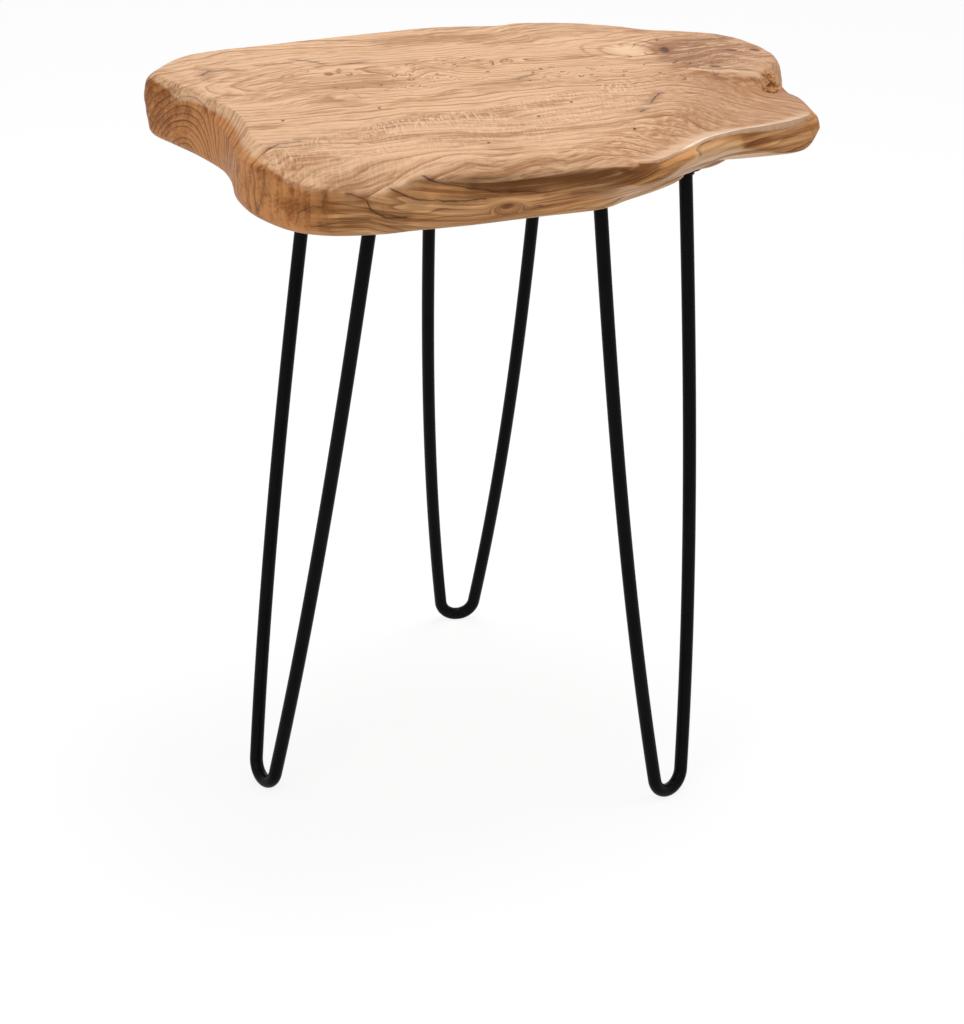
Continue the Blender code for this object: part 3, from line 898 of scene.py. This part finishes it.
def top_colour(wood, grain, s):
    """The flat top: pale figured wood, cross grain ticks, and a calmer lobe, partly greyed by painted shade,
    with a painted highlight on its lip.
    """
    calm = grain.x.ramp(0.03, 0.12) * (1 - grain.y.ramp(0.03, 0.075))
    cloud = 3.2 * (grain.streak - 0.5) + 1.6 * (grain.blotch - 0.5) + 1.8 * (grain.run(3, 34) - 0.5)
    glow = 1 - grain.near_spot(*EYE_GLOW, 0.02).ramp(0.3, 1.0)
    tone = 0.70 - 1.2 * grain.x + 0.5 * glow + cloud * (1 - 0.6 * calm) + 3.6 * (grain.fibre - 0.5)
    lobe = grain.x.ramp(0.10, 0.17) * (1 - grain.y.ramp(0.056, 0.072))
    wane = 1 - grain.y.ramp(-0.185, -0.145)
    strength = 0.95 + 0.4 * grain.blotch.ramp(0.35, 0.7) + 0.45 * calm + 0.7 * wane
    pores = grain.run(30, 620).ramp(0.56, 0.70)
    # Noise that breaks up the painted highlight on the lip's crest
    patchy = 0.45 + 0.55 * wood.noise(grain.place, 45, 3, 0.6).ramp(0.38, 0.58)
    return wood.layers(
        wood.between(tone, (s.honey, s.pale)),
        # The lobe's greyer tone, with painted shade that deepens towards the step behind it
        (lobe * (0.42 + 0.22 * grain.y.ramp(0.03, 0.055)), LOBE_TONE_AND_SHADE),
        (grain.line * strength, s.line),
        (grain.hair_line * 0.4, s.line),
        (pores * 0.35, s.line),
        (grain.ticks * 0.55, BRIGHT_TINT),
        (grain.tick_gaps * 0.38, s.line),
        *burl_coats(wood, grain, s),
        # Painted highlight along the lobe's lip: a pale slope band, partly the wood's own colour, and a near
        # white crest line
        (grain.lip.ramp(0, 0.8) * 0.6, LIP_SLOPE_PALE_AND_HIGHLIGHT),
        (grain.lip.ramp(0.93, 1.0) * patchy, LIP_HIGHLIGHT_TINT),
    )


def burl_coats(wood, grain, s):
    """The dark curly burl at the rear right, a painted highlight along the ledge before it, the ringed eye
    and the knot's halo.
    """
    burl_away = grain.near_spot(*BURL, 0.03) + grain.wide[0] * 0.9
    burl = 1 - burl_away.ramp(0.45, 1.15)
    place = wood.join(grain.x * 58 + grain.wide[0] * 18, grain.y * 100 + grain.wide[1] * 18, grain.z * 60)
    curl = wood.noise(place, 1, 3, 0.6)
    brown = burl * (1 - 0.45 * grain.x.ramp(0.155, 0.20)) * (0.4 + 0.6 * curl.ramp(0.42, 0.60))
    ledge = 1 - abs((grain.y + grain.fine[1] * 0.010 - LEDGE) / LEDGE_HALF_WIDTH).ramp(0.3, 1.0)
    eye_away = grain.near_spot(*EYE, 0.012) + grain.wide[0] * 0.25
    eye_ring = abs((eye_away - 1.1) / 0.11).least(abs((eye_away - 1.75) / 0.13))
    eye_ring = (1 - eye_ring.ramp(0.3, 1.1)) * (0.4 + 0.6 * grain.blotch.ramp(0.40, 0.55))
    halo = 1 - grain.near_spot(*KNOT_HALO, 0.012).ramp(0.2, 1.0)
    return (
        (brown * 0.74, BURL_TINT),
        (burl * (1 - curl.ramp(0.38, 0.47)) * 0.6, s.pale),
        (burl * grain.late_lines(curl * 20)[1] * 0.75, s.shake),
        # Painted highlight along the ledge's crest
        (ledge * grain.x.ramp(0.140, 0.155) * 0.55, BRIGHT_TINT),
        ((1 - eye_away.ramp(0.3, 1.1)) * 0.75, EYE_TINT),
        (eye_ring * 0.7, s.line),
        (halo * 0.6, HALO_TINT),
    )


def front_colour(wood, grain):
    """The front face: brown above, tan below, in long threads that sink to the middle and rise again."""
    tone = 0.55 + 3.8 * (grain.thread - 0.5) + 1.6 * (grain.blotch - 0.5)
    tone = tone + 1.8 * (grain.drift(26, 800, 2) - 0.5)
    low = (1 - grain.flow.ramp(0.488, 0.497)) * grain.x.ramp(-0.11, -0.06) * (1 - grain.x.ramp(0.015, 0.065))
    nose = grain.x.ramp(0.185, 0.215) * 0.55
    face = wood.mix((low * 0.95).most(nose), wood.between(tone, BROWNS), wood.between(tone, TANS))
    shaded = grain.flow.ramp(0.497, 0.503) * (1 - grain.flow.ramp(0.508, 0.515))
    coats = [(shaded * grain.drift(14, 60, 3, 0.6).ramp(0.42, 0.56) * 0.75, SHADED_TINT)]
    place = wood.join(grain.x + grain.fine[0] * 0.010, grain.z + grain.fine[2] * 0.006, 0)
    streaks = (0.4 + 0.6 * grain.thread.ramp(0.36, 0.58)) * grain.before
    # Broad bands on the front, two of them painted shade: under the crease and in the hollow under the lip
    for half_width, strength, tint, points in FRONT_BANDS:
        near = wood.near_line(place, points) / half_width
        coats.append(((1 - near.ramp(0.3, 1.0)) * streaks * strength, tint))
    return wood.layers(face, *coats, (grain.knot * 0.8, FRONT_KNOT_TINT))


def flank_colour(wood, grain, s):
    """The natural edge: darker, with strong rings, long threads on the front and a pale chamfer."""
    corner = (1 - grain.y.ramp(-0.165, -0.125)) * (1 - grain.front)
    upright = wood.noise(wood.join(grain.x * 130, grain.y * 130, grain.z * 12), 1, 3, 0.6)
    tone = 0.66 + 2.4 * (grain.streak - 0.5) + 2.4 * (grain.blotch - 0.5) + 2.0 * (grain.fibre - 0.5)
    tone = tone + 3.0 * (upright - 0.5) * (1 - grain.y.ramp(-0.06, 0.0))
    flank = wood.mix(grain.front, wood.between(tone, (FLANK_DARK, s.flank)), front_colour(wood, grain))
    front_line = grain.late_lines(grain.drift(6, 42, 2) * 10 + grain.flow * 130)[1]
    fade = wood.noise(grain.place, 38, 2).ramp(0.40, 0.60)
    lines = grain.flank_line * (1 - grain.front) * (1 - corner * (0.35 + 0.5 * fade))
    flank = wood.layers(flank, (lines.most(front_line * grain.front * 0.85), s.flank_line))
    pale = wood.between(grain.thread.ramp(0.36, 0.60), CHAMFER_TINTS)
    flank = wood.mix(grain.chamfer * 0.9, flank, pale)
    return wood.mix(grain.under * 0.8, flank, wood.between(grain.streak, RAW_TINTS))


def dark_marks(wood, grain):
    """Shakes, pips, slots, bird's eyes and the knot, as one mask."""
    x = grain.x + grain.fine[0] * 0.005 + grain.tiny[0] * 0.0018
    y = grain.y + grain.fine[1] * 0.008 + grain.tiny[1] * 0.002
    z = grain.z + grain.fine[2] * 0.005 + grain.tiny[2] * 0.0018
    width = 0.0004 + 0.0010 * wood.noise(grain.place, 60, 2).ramp(0.35, 0.7)
    facing = (1 - grain.y.ramp(-0.150, -0.135)) * grain.side.ramp(0.02, 0.2)

    def crack(place, points, half_width, soft, line_depth, halo_depth):
        near = wood.near_line(place, points) / half_width
        line = (1 - near.ramp(*soft)) * line_depth
        return line.most((1 - near.ramp(0.5, 7)) * halo_depth)

    marks = (1 - grain.near_spot(*KNOT).ramp(0.5, 1.15)) * 0.9
    front_place = wood.join(x, z, 0)
    for strength, points in FRONT_SHAKES:
        marks = marks.most(crack(front_place, points, width, (0.2, 1.1), 0.8, 0.32) * facing * strength)
    top_place = wood.join(x, y, 0)
    for points in TOP_SHAKES:
        marks = marks.most(crack(top_place, points, width * 1.2, (0.3, 1.3), 0.75, 0.28) * (1 - grain.side))
    holes = [(spot, PIP_SIZE, 0.002, 0.85) for spot in PIPS]
    holes += [(spot, BURL_SLOT_SIZE, 0.006, 0.8) for spot in BURL_SLOTS]
    for spot, size, wobble, depth in holes:
        marks = marks.most((1 - grain.near_spot(*spot, *size, wobble).ramp(0.5, 1.1)) * depth)
    return marks.most(grain.eyes * 0.66) * (1 - grain.under)


def make_wood(s):
    """Flat sawn wood with a satin finish."""
    wood = new_material("live_edge_wood")
    grain = Grain(wood, s.grain_turn)
    ragged = (grain.side + 1.3 * (grain.thread - 0.5) * grain.front).ramp(0.2, 0.8)
    body = wood.mix(ragged, top_colour(wood, grain, s), flank_colour(wood, grain, s))
    crumbs = wood.noise(grain.place, 300, 3, 0.7)
    body = wood.mix(grain.pit, body, wood.between(crumbs.ramp(0.36, 0.62), PIT_TINTS))
    marks = dark_marks(wood, grain)
    rough = 0.34 - 0.1 * grain.lip + 0.16 * grain.blotch + 0.10 * grain.line
    rough = rough + 0.25 * grain.pit + 0.2 * grain.under
    height = grain.fibre * 0.35 - grain.line * 0.3 + grain.ticks * 0.5 - marks * 1.4 + grain.pit * crumbs * 4
    return wood.finish(
        Base_Color=wood.layers(body, (marks, s.shake)),
        Roughness=rough,
        Normal=wood.bump(height, 0.0005, 0.7),
        Specular_IOR_Level=0.06,
    )


class ENDTABLE_OT_slab(bpy.types.Operator):
    """Builds the live edge slab in place of the plain one"""

    bl_idname = "endtable.slab"
    bl_label = "Wood slab"

    def execute(self, context):
        settings = context.scene.end_table.slab
        add_piece("live_edge_slab", make_slab_mesh(settings), make_wood(settings), "wood_top", 55)
        return {"FINISHED"}


# The legs, in the leg's own frame: X across the rod's two arms, Y the way the leg leans, Z up


class LegShape:
    """Heights and the rod's centre line, worked out from the settings and the slab's underside."""

    def __init__(self, table):
        self.legs, self.hardware = table.legs, table.hardware
        self.plate_top = SLAB_LOW.z - self.hardware.seat_gap
        self.plate_bottom = self.plate_top - self.hardware.plate_thickness
        self.rod_top = self.plate_bottom - self.hardware.seat_gap
        self.rod_radius = self.legs.rod_diameter / 2
        self.weld_bore = self.rod_radius / math.cos(self.legs.splay) + self.hardware.seat_gap
        self.weld_radius = self.weld_bore + self.hardware.weld_leg
        self.plate_outer = self.weld_radius + self.hardware.plate_strip
        self.plate_length = self.legs.arm_spacing + 2 * self.plate_outer

    def half_spacing(self, part, foot, top):
        """Half the distance between the arms, on a smooth curve from the foot bend (0) to the plate (1)."""
        rise = top[1] - foot[1]
        square, cube = part**2, part**3
        return (
            (2 * cube - 3 * square + 1) * foot[0]
            + (cube - 2 * square + part) * math.tan(self.legs.foot_lean) * rise
            + (3 * square - 2 * cube) * top[0]
            + (cube - square) * math.tan(self.legs.top_lean) * rise
        )

    def centre_line(self):
        """Down one arm, round the foot and up the other, past the plate so that the ends can be cut."""
        bend = self.legs.bend_radius
        middle = self.rod_radius - self.legs.foot_flat + bend
        half_turn = math.pi / 2 - self.legs.foot_lean
        foot = (bend * math.sin(half_turn), middle - bend * math.cos(half_turn))
        top = (self.legs.arm_spacing / 2, self.rod_top)
        half = []
        for i in range(BEND_STEPS):
            turn = half_turn * i / BEND_STEPS
            half.append((bend * math.sin(turn), middle - bend * math.cos(turn)))
        for i in range(ARM_STEPS + 1):
            part = i / ARM_STEPS
            half.append((self.half_spacing(part, foot, top), foot[1] + (top[1] - foot[1]) * part))
        spare = self.legs.rod_diameter
        half.append((top[0] + spare * math.tan(self.legs.top_lean), self.rod_top + spare))
        path = [(-x, z) for x, z in reversed(half[1:])] + half
        lean = math.tan(self.legs.splay)
        return [Vector((x, (self.rod_top - z) * lean, z)) for x, z in path]

    def screw_places(self):
        """Two screws at the plate's inner corners and two between the welds."""
        h = self.hardware
        inner = self.plate_outer - h.plate_width + h.inner_inset
        across = self.plate_length / 2 - h.inner_inset
        between = self.legs.arm_spacing / 2 - self.weld_radius - h.outer_clearance - h.head_diameter / 2
        return [(-across, inner), (across, inner), (-between, 0), (between, 0)]


def add_leg_piece(leg, name, bm, material, node, place=Matrix()):
    """Moves a piece from the leg's frame to its place on the table and adds it."""
    across, back, heading = LEGS[leg]
    turn = Matrix.Rotation(math.radians(heading - 90), 4, "Z")
    matrix = Matrix.Translation((across, back, 0)) @ turn @ place
    bmesh.ops.transform(bm, matrix=matrix, verts=bm.verts)
    add_piece(f"{leg}_{name}", bm, material, f"{leg}_{node}")


def path_frames(path, normal):
    """A matrix at each point of a flat path: X along the plane's normal, Z along the path."""
    frames = []
    for i, point in enumerate(path):
        run = (path[min(i + 1, len(path) - 1)] - path[max(i - 1, 0)]).normalized()
        side = run.cross(normal)
        frames.append(Matrix.Translation(point) @ Matrix((normal, side, run)).transposed().to_4x4())
    return frames


def cut_level(bm, height, direction):
    """Cuts away what lies past this height and closes the cut."""
    geom = bm.verts[:] + bm.edges[:] + bm.faces[:]
    cut = bmesh.ops.bisect_plane(
        bm, geom=geom, plane_co=(0, 0, height), plane_no=(0, 0, direction), clear_outer=True
    )
    rim = [item for item in cut["geom_cut"] if isinstance(item, bmesh.types.BMEdge)]
    bmesh.ops.edgeloop_fill(bm, edges=rim)


def make_rod_mesh(shape):
    """A round bar drawn along the centre line, cut level at the plate and ground flat at the floor."""
    normal = Vector((0, math.cos(shape.legs.splay), math.sin(shape.legs.splay)))
    frames = path_frames(shape.centre_line(), normal)
    bm = bmesh.new()
    bmesh.ops.create_circle(bm, segments=ROD_SIDES, radius=shape.rod_radius, matrix=frames[0])
    ring = bm.edges[:]
    for last, here in zip(frames, frames[1:]):
        verts, ring = draw_out(bm, ring)
        bmesh.ops.transform(bm, matrix=here @ last.inverted(), verts=verts)
    cut_level(bm, shape.rod_top, 1)
    cut_level(bm, 0, -1)
    bmesh.ops.recalc_face_normals(bm, faces=bm.faces)
    return bm


def make_paint(s):
    """Semi-gloss black paint with a faint skin and dust, rubbed a little at the foot."""
    paint = new_material("black_paint")
    place = paint.place()
    height = paint.split(place)[2]
    haze = paint.noise(place, 26, 3, 0.6)
    rub = (1 - height.ramp(0.001, 0.012)) * paint.noise(place, 420, 2, 0.6).ramp(0.45, 0.7)
    dusty = paint.between(haze.ramp(0.3, 0.75), (s.paint, PAINT_HAZE))
    return paint.finish(
        Base_Color=paint.layers(dusty, (rub * 0.5, PAINT_RUB)),
        Roughness=0.27 + 0.16 * haze + 0.2 * rub,
        Normal=paint.bump(paint.noise(place, 900), 0.00008, 0.5),
        Specular_IOR_Level=0.055,
    )


class ENDTABLE_OT_hairpins(bpy.types.Operator):
    """Builds the three bent rod legs"""

    bl_idname = "endtable.hairpins"
    bl_label = "Hairpin legs"

    def execute(self, context):
        shape = LegShape(context.scene.end_table)
        paint = make_paint(shape.legs)
        for leg in LEGS:
            add_leg_piece(leg, "bent_rod", make_rod_mesh(shape), paint, "hairpin")
        return {"FINISHED"}


# Plates, welds and screws


def make_plate_mesh(shape):
    """A flat plate with round corners and softened edges, the rod line near its outer edge."""
    h = shape.hardware
    bm = bmesh.new()
    bmesh.ops.create_cube(bm, size=1)
    bmesh.ops.scale(bm, vec=(shape.plate_length, h.plate_width, h.plate_thickness), verts=bm.verts)
    middle = (0, shape.plate_outer - h.plate_width / 2, (shape.plate_top + shape.plate_bottom) / 2)
    bmesh.ops.translate(bm, vec=middle, verts=bm.verts)
    upright = [
        edge for edge in bm.edges if abs(edge.verts[0].co.z - edge.verts[1].co.z) > h.plate_thickness / 2
    ]
    bmesh.ops.bevel(
        bm, geom=upright, offset=h.plate_corner, segments=8, profile=0.5, affect="EDGES", material=-1
    )
    rims = [edge for edge in bm.edges if edge.calc_face_angle() > 1]
    bmesh.ops.bevel(bm, geom=rims, offset=h.plate_edge, segments=3, profile=0.5, affect="EDGES", material=-1)
    return bm


class ENDTABLE_OT_plates(bpy.types.Operator):
    """Builds the mounting plates under the slab"""

    bl_idname = "endtable.plates"
    bl_label = "Mounting plates"

    def execute(self, context):
        shape = LegShape(context.scene.end_table)
        paint = make_paint(shape.legs)
        for leg in LEGS:
            add_leg_piece(leg, "mounting_plate", make_plate_mesh(shape), paint, "plate")
        return {"FINISHED"}


def turned(profile, sides):
    """The profile's (radius, height) points turned once round Z."""
    bm = bmesh.new()
    points = [bm.verts.new((radius, 0, height)) for radius, height in profile]
    edges = [bm.edges.new(pair) for pair in zip(points, points[1:])]
    around = {"axis": (0, 0, 1), "cent": (0, 0, 0), "angle": math.tau}
    bmesh.ops.spin(bm, geom=points + edges, steps=sides, use_merge=True, **around)
    bmesh.ops.remove_doubles(bm, verts=bm.verts, dist=CLOSE)
    bmesh.ops.recalc_face_normals(bm, faces=bm.faces)
    return bm


def make_weld_mesh(shape, side):
    """A hollow fillet with overlapping ripples round the end of the rod, slanted with it."""
    bore, leg = shape.weld_bore, shape.hardware.weld_leg
    profile = [(bore, 0)]
    for i in range(WELD_STEPS + 1):
        bend = math.pi / 2 * i / WELD_STEPS
        profile.append((bore + leg - WELD_WAIST * leg * math.sin(bend), -leg * (1 - math.cos(bend))))
    profile += [(bore, -leg), (bore, 0)]
    bm = turned(profile, WELD_SIDES)
    for vert in bm.verts:
        out = vert.co.xy.length - bore
        ripple = WELD_RIPPLE * abs(math.sin(WELD_RIPPLES / 2 * math.atan2(vert.co.y, vert.co.x)))
        if out > ON_FACE and vert.co.z < -ON_FACE:
            vert.co.xy *= (bore + out * (1 - ripple)) / (bore + out)
        vert.co.x += side * (shape.legs.arm_spacing / 2 + vert.co.z * math.tan(shape.legs.top_lean))
        vert.co.y -= vert.co.z * math.tan(shape.legs.splay)
        vert.co.z += shape.rod_top
    return bm


class ENDTABLE_OT_welds(bpy.types.Operator):
    """Builds the weld beads round the ends of the rods"""

    bl_idname = "endtable.welds"
    bl_label = "Weld beads"

    def execute(self, context):
        shape = LegShape(context.scene.end_table)
        paint = make_paint(shape.legs)
        for leg in LEGS:
            for number, side in enumerate((-1, 1), start=1):
                bead = make_weld_mesh(shape, side)
                name, node = f"weld_bead_{number}", f"weld_{number}"
                add_leg_piece(leg, name, bead, paint, node)
        return {"FINISHED"}


def screw_profile(h):
    """Radius and height down the screw, from its point past the seat at 0 to the flat of the head."""
    head, shank = h.head_diameter / 2, h.screw_diameter / 2
    core = shank * THREAD_CORE
    profile = [(0, h.screw_length), (core * 0.5, h.screw_length - h.screw_tip * 0.5)]
    height = h.screw_length - h.screw_tip
    while height > h.thread_pitch * 2:
        for radius, down in ((core, 0), (shank, 0.3), (core, 0.6)):
            profile.append((radius, height - h.thread_pitch * down))
        height -= h.thread_pitch
    profile += [(shank, height), (shank, 0), (head - HEAD_BREAK, 0), (head, -HEAD_BREAK)]
    side = h.head_height * HEAD_SIDE
    flat = RECESS_REACH * 1.15
    for i in range(HEAD_STEPS + 1):
        bend = math.pi / 2 * i / HEAD_STEPS
        out = flat + (head - flat) * math.cos(bend)
        profile.append((out, -side - (h.head_height - side) * math.sin(bend)))
    return profile


def make_screw_mesh(h):
    """A pan head screw with thread ridges and a cross recess, head down, its seat at Z = 0."""
    bm = turned(screw_profile(h), SCREW_SIDES)
    bmesh.ops.edgeloop_fill(bm, edges=[edge for edge in bm.edges if edge.is_boundary])
    for axis in ((1, 0, 0), (0, 1, 0)):
        for offset in (-RECESS_WIDTH, RECESS_WIDTH):
            level = [face for face in bm.faces if face.calc_center_median().z < ON_FACE - h.head_height]
            geom = level + list(dict.fromkeys(edge for face in level for edge in face.edges))
            geom += list(dict.fromkeys(vert for face in level for vert in face.verts))
            middle = Vector(axis) * offset
            bmesh.ops.bisect_plane(bm, geom=geom, plane_co=middle, plane_no=axis, dist=ON_CUT)
    slots = []
    for face in bm.faces:
        middle = face.calc_center_median()
        if middle.z < ON_FACE - h.head_height and min(abs(middle.x), abs(middle.y)) < RECESS_WIDTH:
            slots.append(face)
    bmesh.ops.inset_region(bm, faces=slots, thickness=RECESS_EDGE, depth=0)
    pressed = bmesh.ops.extrude_face_region(bm, geom=slots)["geom"]
    verts = [item for item in pressed if isinstance(item, bmesh.types.BMVert)]
    bmesh.ops.translate(bm, vec=(0, 0, RECESS_DEPTH), verts=verts)
    bmesh.ops.scale(bm, vec=(RECESS_TAPER, RECESS_TAPER, 1), verts=verts)
    bmesh.ops.delete(bm, geom=slots, context="FACES")
    bmesh.ops.recalc_face_normals(bm, faces=bm.faces)
    return bm


def make_zinc(s):
    """Bright zinc plate, a little mottled."""
    zinc = new_material("zinc_plate")
    mottle = zinc.noise(zinc.place(), 700, 3, 0.6)
    return zinc.finish(
        Base_Color=zinc.between(mottle, (ZINC_DARK, s.zinc)),
        Roughness=0.24 + 0.2 * mottle,
        Normal=zinc.bump(mottle, 0.00005, 0.5),
        Metallic=1.0,
    )


class ENDTABLE_OT_screws(bpy.types.Operator):
    """Builds the pan head screws that hold the plates"""

    bl_idname = "endtable.screws"
    bl_label = "Screws"

    def execute(self, context):
        shape = LegShape(context.scene.end_table)
        zinc = make_zinc(shape.hardware)
        seat = shape.plate_bottom - shape.hardware.seat_gap
        for leg in LEGS:
            for number, spot in enumerate(shape.screw_places(), start=1):
                screw = make_screw_mesh(shape.hardware)
                turn = Matrix.Rotation(SCREW_TURN * number + len(leg), 4, "Z")
                place = Matrix.Translation((*spot, seat)) @ turn
                name, node = f"pan_head_screw_{number}", f"screw_{number}"
                add_leg_piece(leg, name, screw, zinc, node, place)
        return {"FINISHED"}


# The studio


def seen_directly(shade):
    """1 for what the camera sees straight, in a gloss or through glass, and 0 for the light it gives."""
    camera = shade.node("ShaderNodeLightPath", output="Is Camera Ray")
    return camera.most(camera.twin("Is Glossy Ray")).most(camera.twin("Is Transmission Ray"))


def make_floor(s):
    """A pale floor that reads as white where no shadow falls."""
    floor = new_material("pale_floor")
    glow = floor.node("ShaderNodeEmission", None, {"Color": (1, 1, 1, 1), "Strength": FLOOR_GLOW})
    paper = floor.node("ShaderNodeBsdfDiffuse", None, {"Color": rgba(s.floor)})
    both = floor.node("ShaderNodeMixShader", None, [seen_directly(floor) * FLOOR_GLOW_SHARE, paper, glow])
    floor.feed(floor.tree.nodes["Material Output"].inputs["Surface"], both)
    return floor.owner


def make_world(s):
    """Even white light from all round, and a white background."""
    sky = Shade(bpy.data.worlds.new("even_white"))
    light = sky.tree.nodes["Background"].inputs
    sky.feed(light["Color"], (1, 1, 1, 1))
    sky.feed(light["Strength"], s.sky_light + (1 - s.sky_light) * seen_directly(sky))
    return sky.owner


def add_stage_object(name, data):
    """Puts a camera, lamp or mesh into the scene."""
    made = bpy.data.objects.new(name, data)
    bpy.context.scene.collection.objects.link(made)
    return made


def add_camera(s):
    """The camera at the photograph's place and angle."""
    camera = bpy.data.cameras.new("camera")
    camera.lens = s.camera_lens
    camera.shift_x, camera.shift_y = s.camera_shift
    camera.clip_end = FARTHEST_SEEN
    holder = add_stage_object("camera", camera)
    holder.matrix_world = (
        Matrix.Translation(s.camera_place)
        @ Matrix.Rotation(math.pi / 2 - s.camera_pitch, 4, "X")
        @ Matrix.Rotation(s.camera_roll, 4, "Z")
    )
    bpy.context.scene.camera = holder


def add_lamp(name, place, size, power):
    """A soft round lamp that faces the middle of the top."""
    lamp = bpy.data.lights.new(name, "AREA")
    lamp.shape = "DISK"
    lamp.size = size
    lamp.energy = power
    holder = add_stage_object(name, lamp)
    holder.location = place
    target = Vector((0, 0, SLAB_HIGH.z))
    holder.rotation_euler = (target - Vector(place)).to_track_quat("-Z", "Y").to_euler()


class ENDTABLE_OT_stage(bpy.types.Operator):
    """Sets up the camera, the pale floor and the studio light"""

    bl_idname = "endtable.stage"
    bl_label = "Studio"

    def execute(self, context):
        s = context.scene.end_table.stage
        context.scene.view_settings.view_transform = "Standard"
        add_camera(s)
        bm = bmesh.new()
        bmesh.ops.create_circle(bm, cap_ends=True, segments=FLOOR_SIDES, radius=s.floor_radius)
        mesh = bpy.data.meshes.new("floor")
        bm.to_mesh(mesh)
        bm.free()
        mesh.materials.append(make_floor(s))
        floor = add_stage_object("floor", mesh)
        context.scene.world = make_world(s)
        add_lamp("soft_overhead", (0.2, 0.3, 2.2), 1.0, s.top_light)
        add_lamp("soft_left", (-1.1, -1.9, 1.3), 1.2, s.side_light)
        return {"FINISHED"}


class ENDTABLE_PT_panel(bpy.types.Panel):
    """Lists what builds the table, and what can be set on it."""

    bl_idname = "ENDTABLE_PT_panel"
    bl_label = "Live Edge End Table"
    bl_space_type = "VIEW_3D"
    bl_region_type = "UI"
    bl_category = "End Table"

    def draw(self, context):
        for operator in OPERATORS:
            self.layout.operator(operator.bl_idname)
        table = context.scene.end_table
        for group in (table.slab, table.legs, table.hardware, table.stage):
            box = self.layout.box()
            for name in group.bl_rna.properties.keys():
                if name not in ("rna_type", "name"):
                    box.prop(group, name)


OPERATORS = (
    ENDTABLE_OT_stage,
    ENDTABLE_OT_slab,
    ENDTABLE_OT_hairpins,
    ENDTABLE_OT_plates,
    ENDTABLE_OT_welds,
    ENDTABLE_OT_screws,
)
CLASSES = (
    SlabSettings,
    LegSettings,
    HardwareSettings,
    StageSettings,
    TableSettings,
    *OPERATORS,
    ENDTABLE_PT_panel,
)


def register():
    for cls in CLASSES:
        bpy.utils.register_class(cls)
    bpy.types.Scene.end_table = PointerProperty(type=TableSettings)


def unregister():
    del bpy.types.Scene.end_table
    for cls in reversed(CLASSES):
        bpy.utils.unregister_class(cls)


def main():
    register()
    for name in ("stage", "slab", "hairpins", "plates", "welds", "screws"):
        getattr(bpy.ops.endtable, name)()


if __name__ == "__main__":
    main()
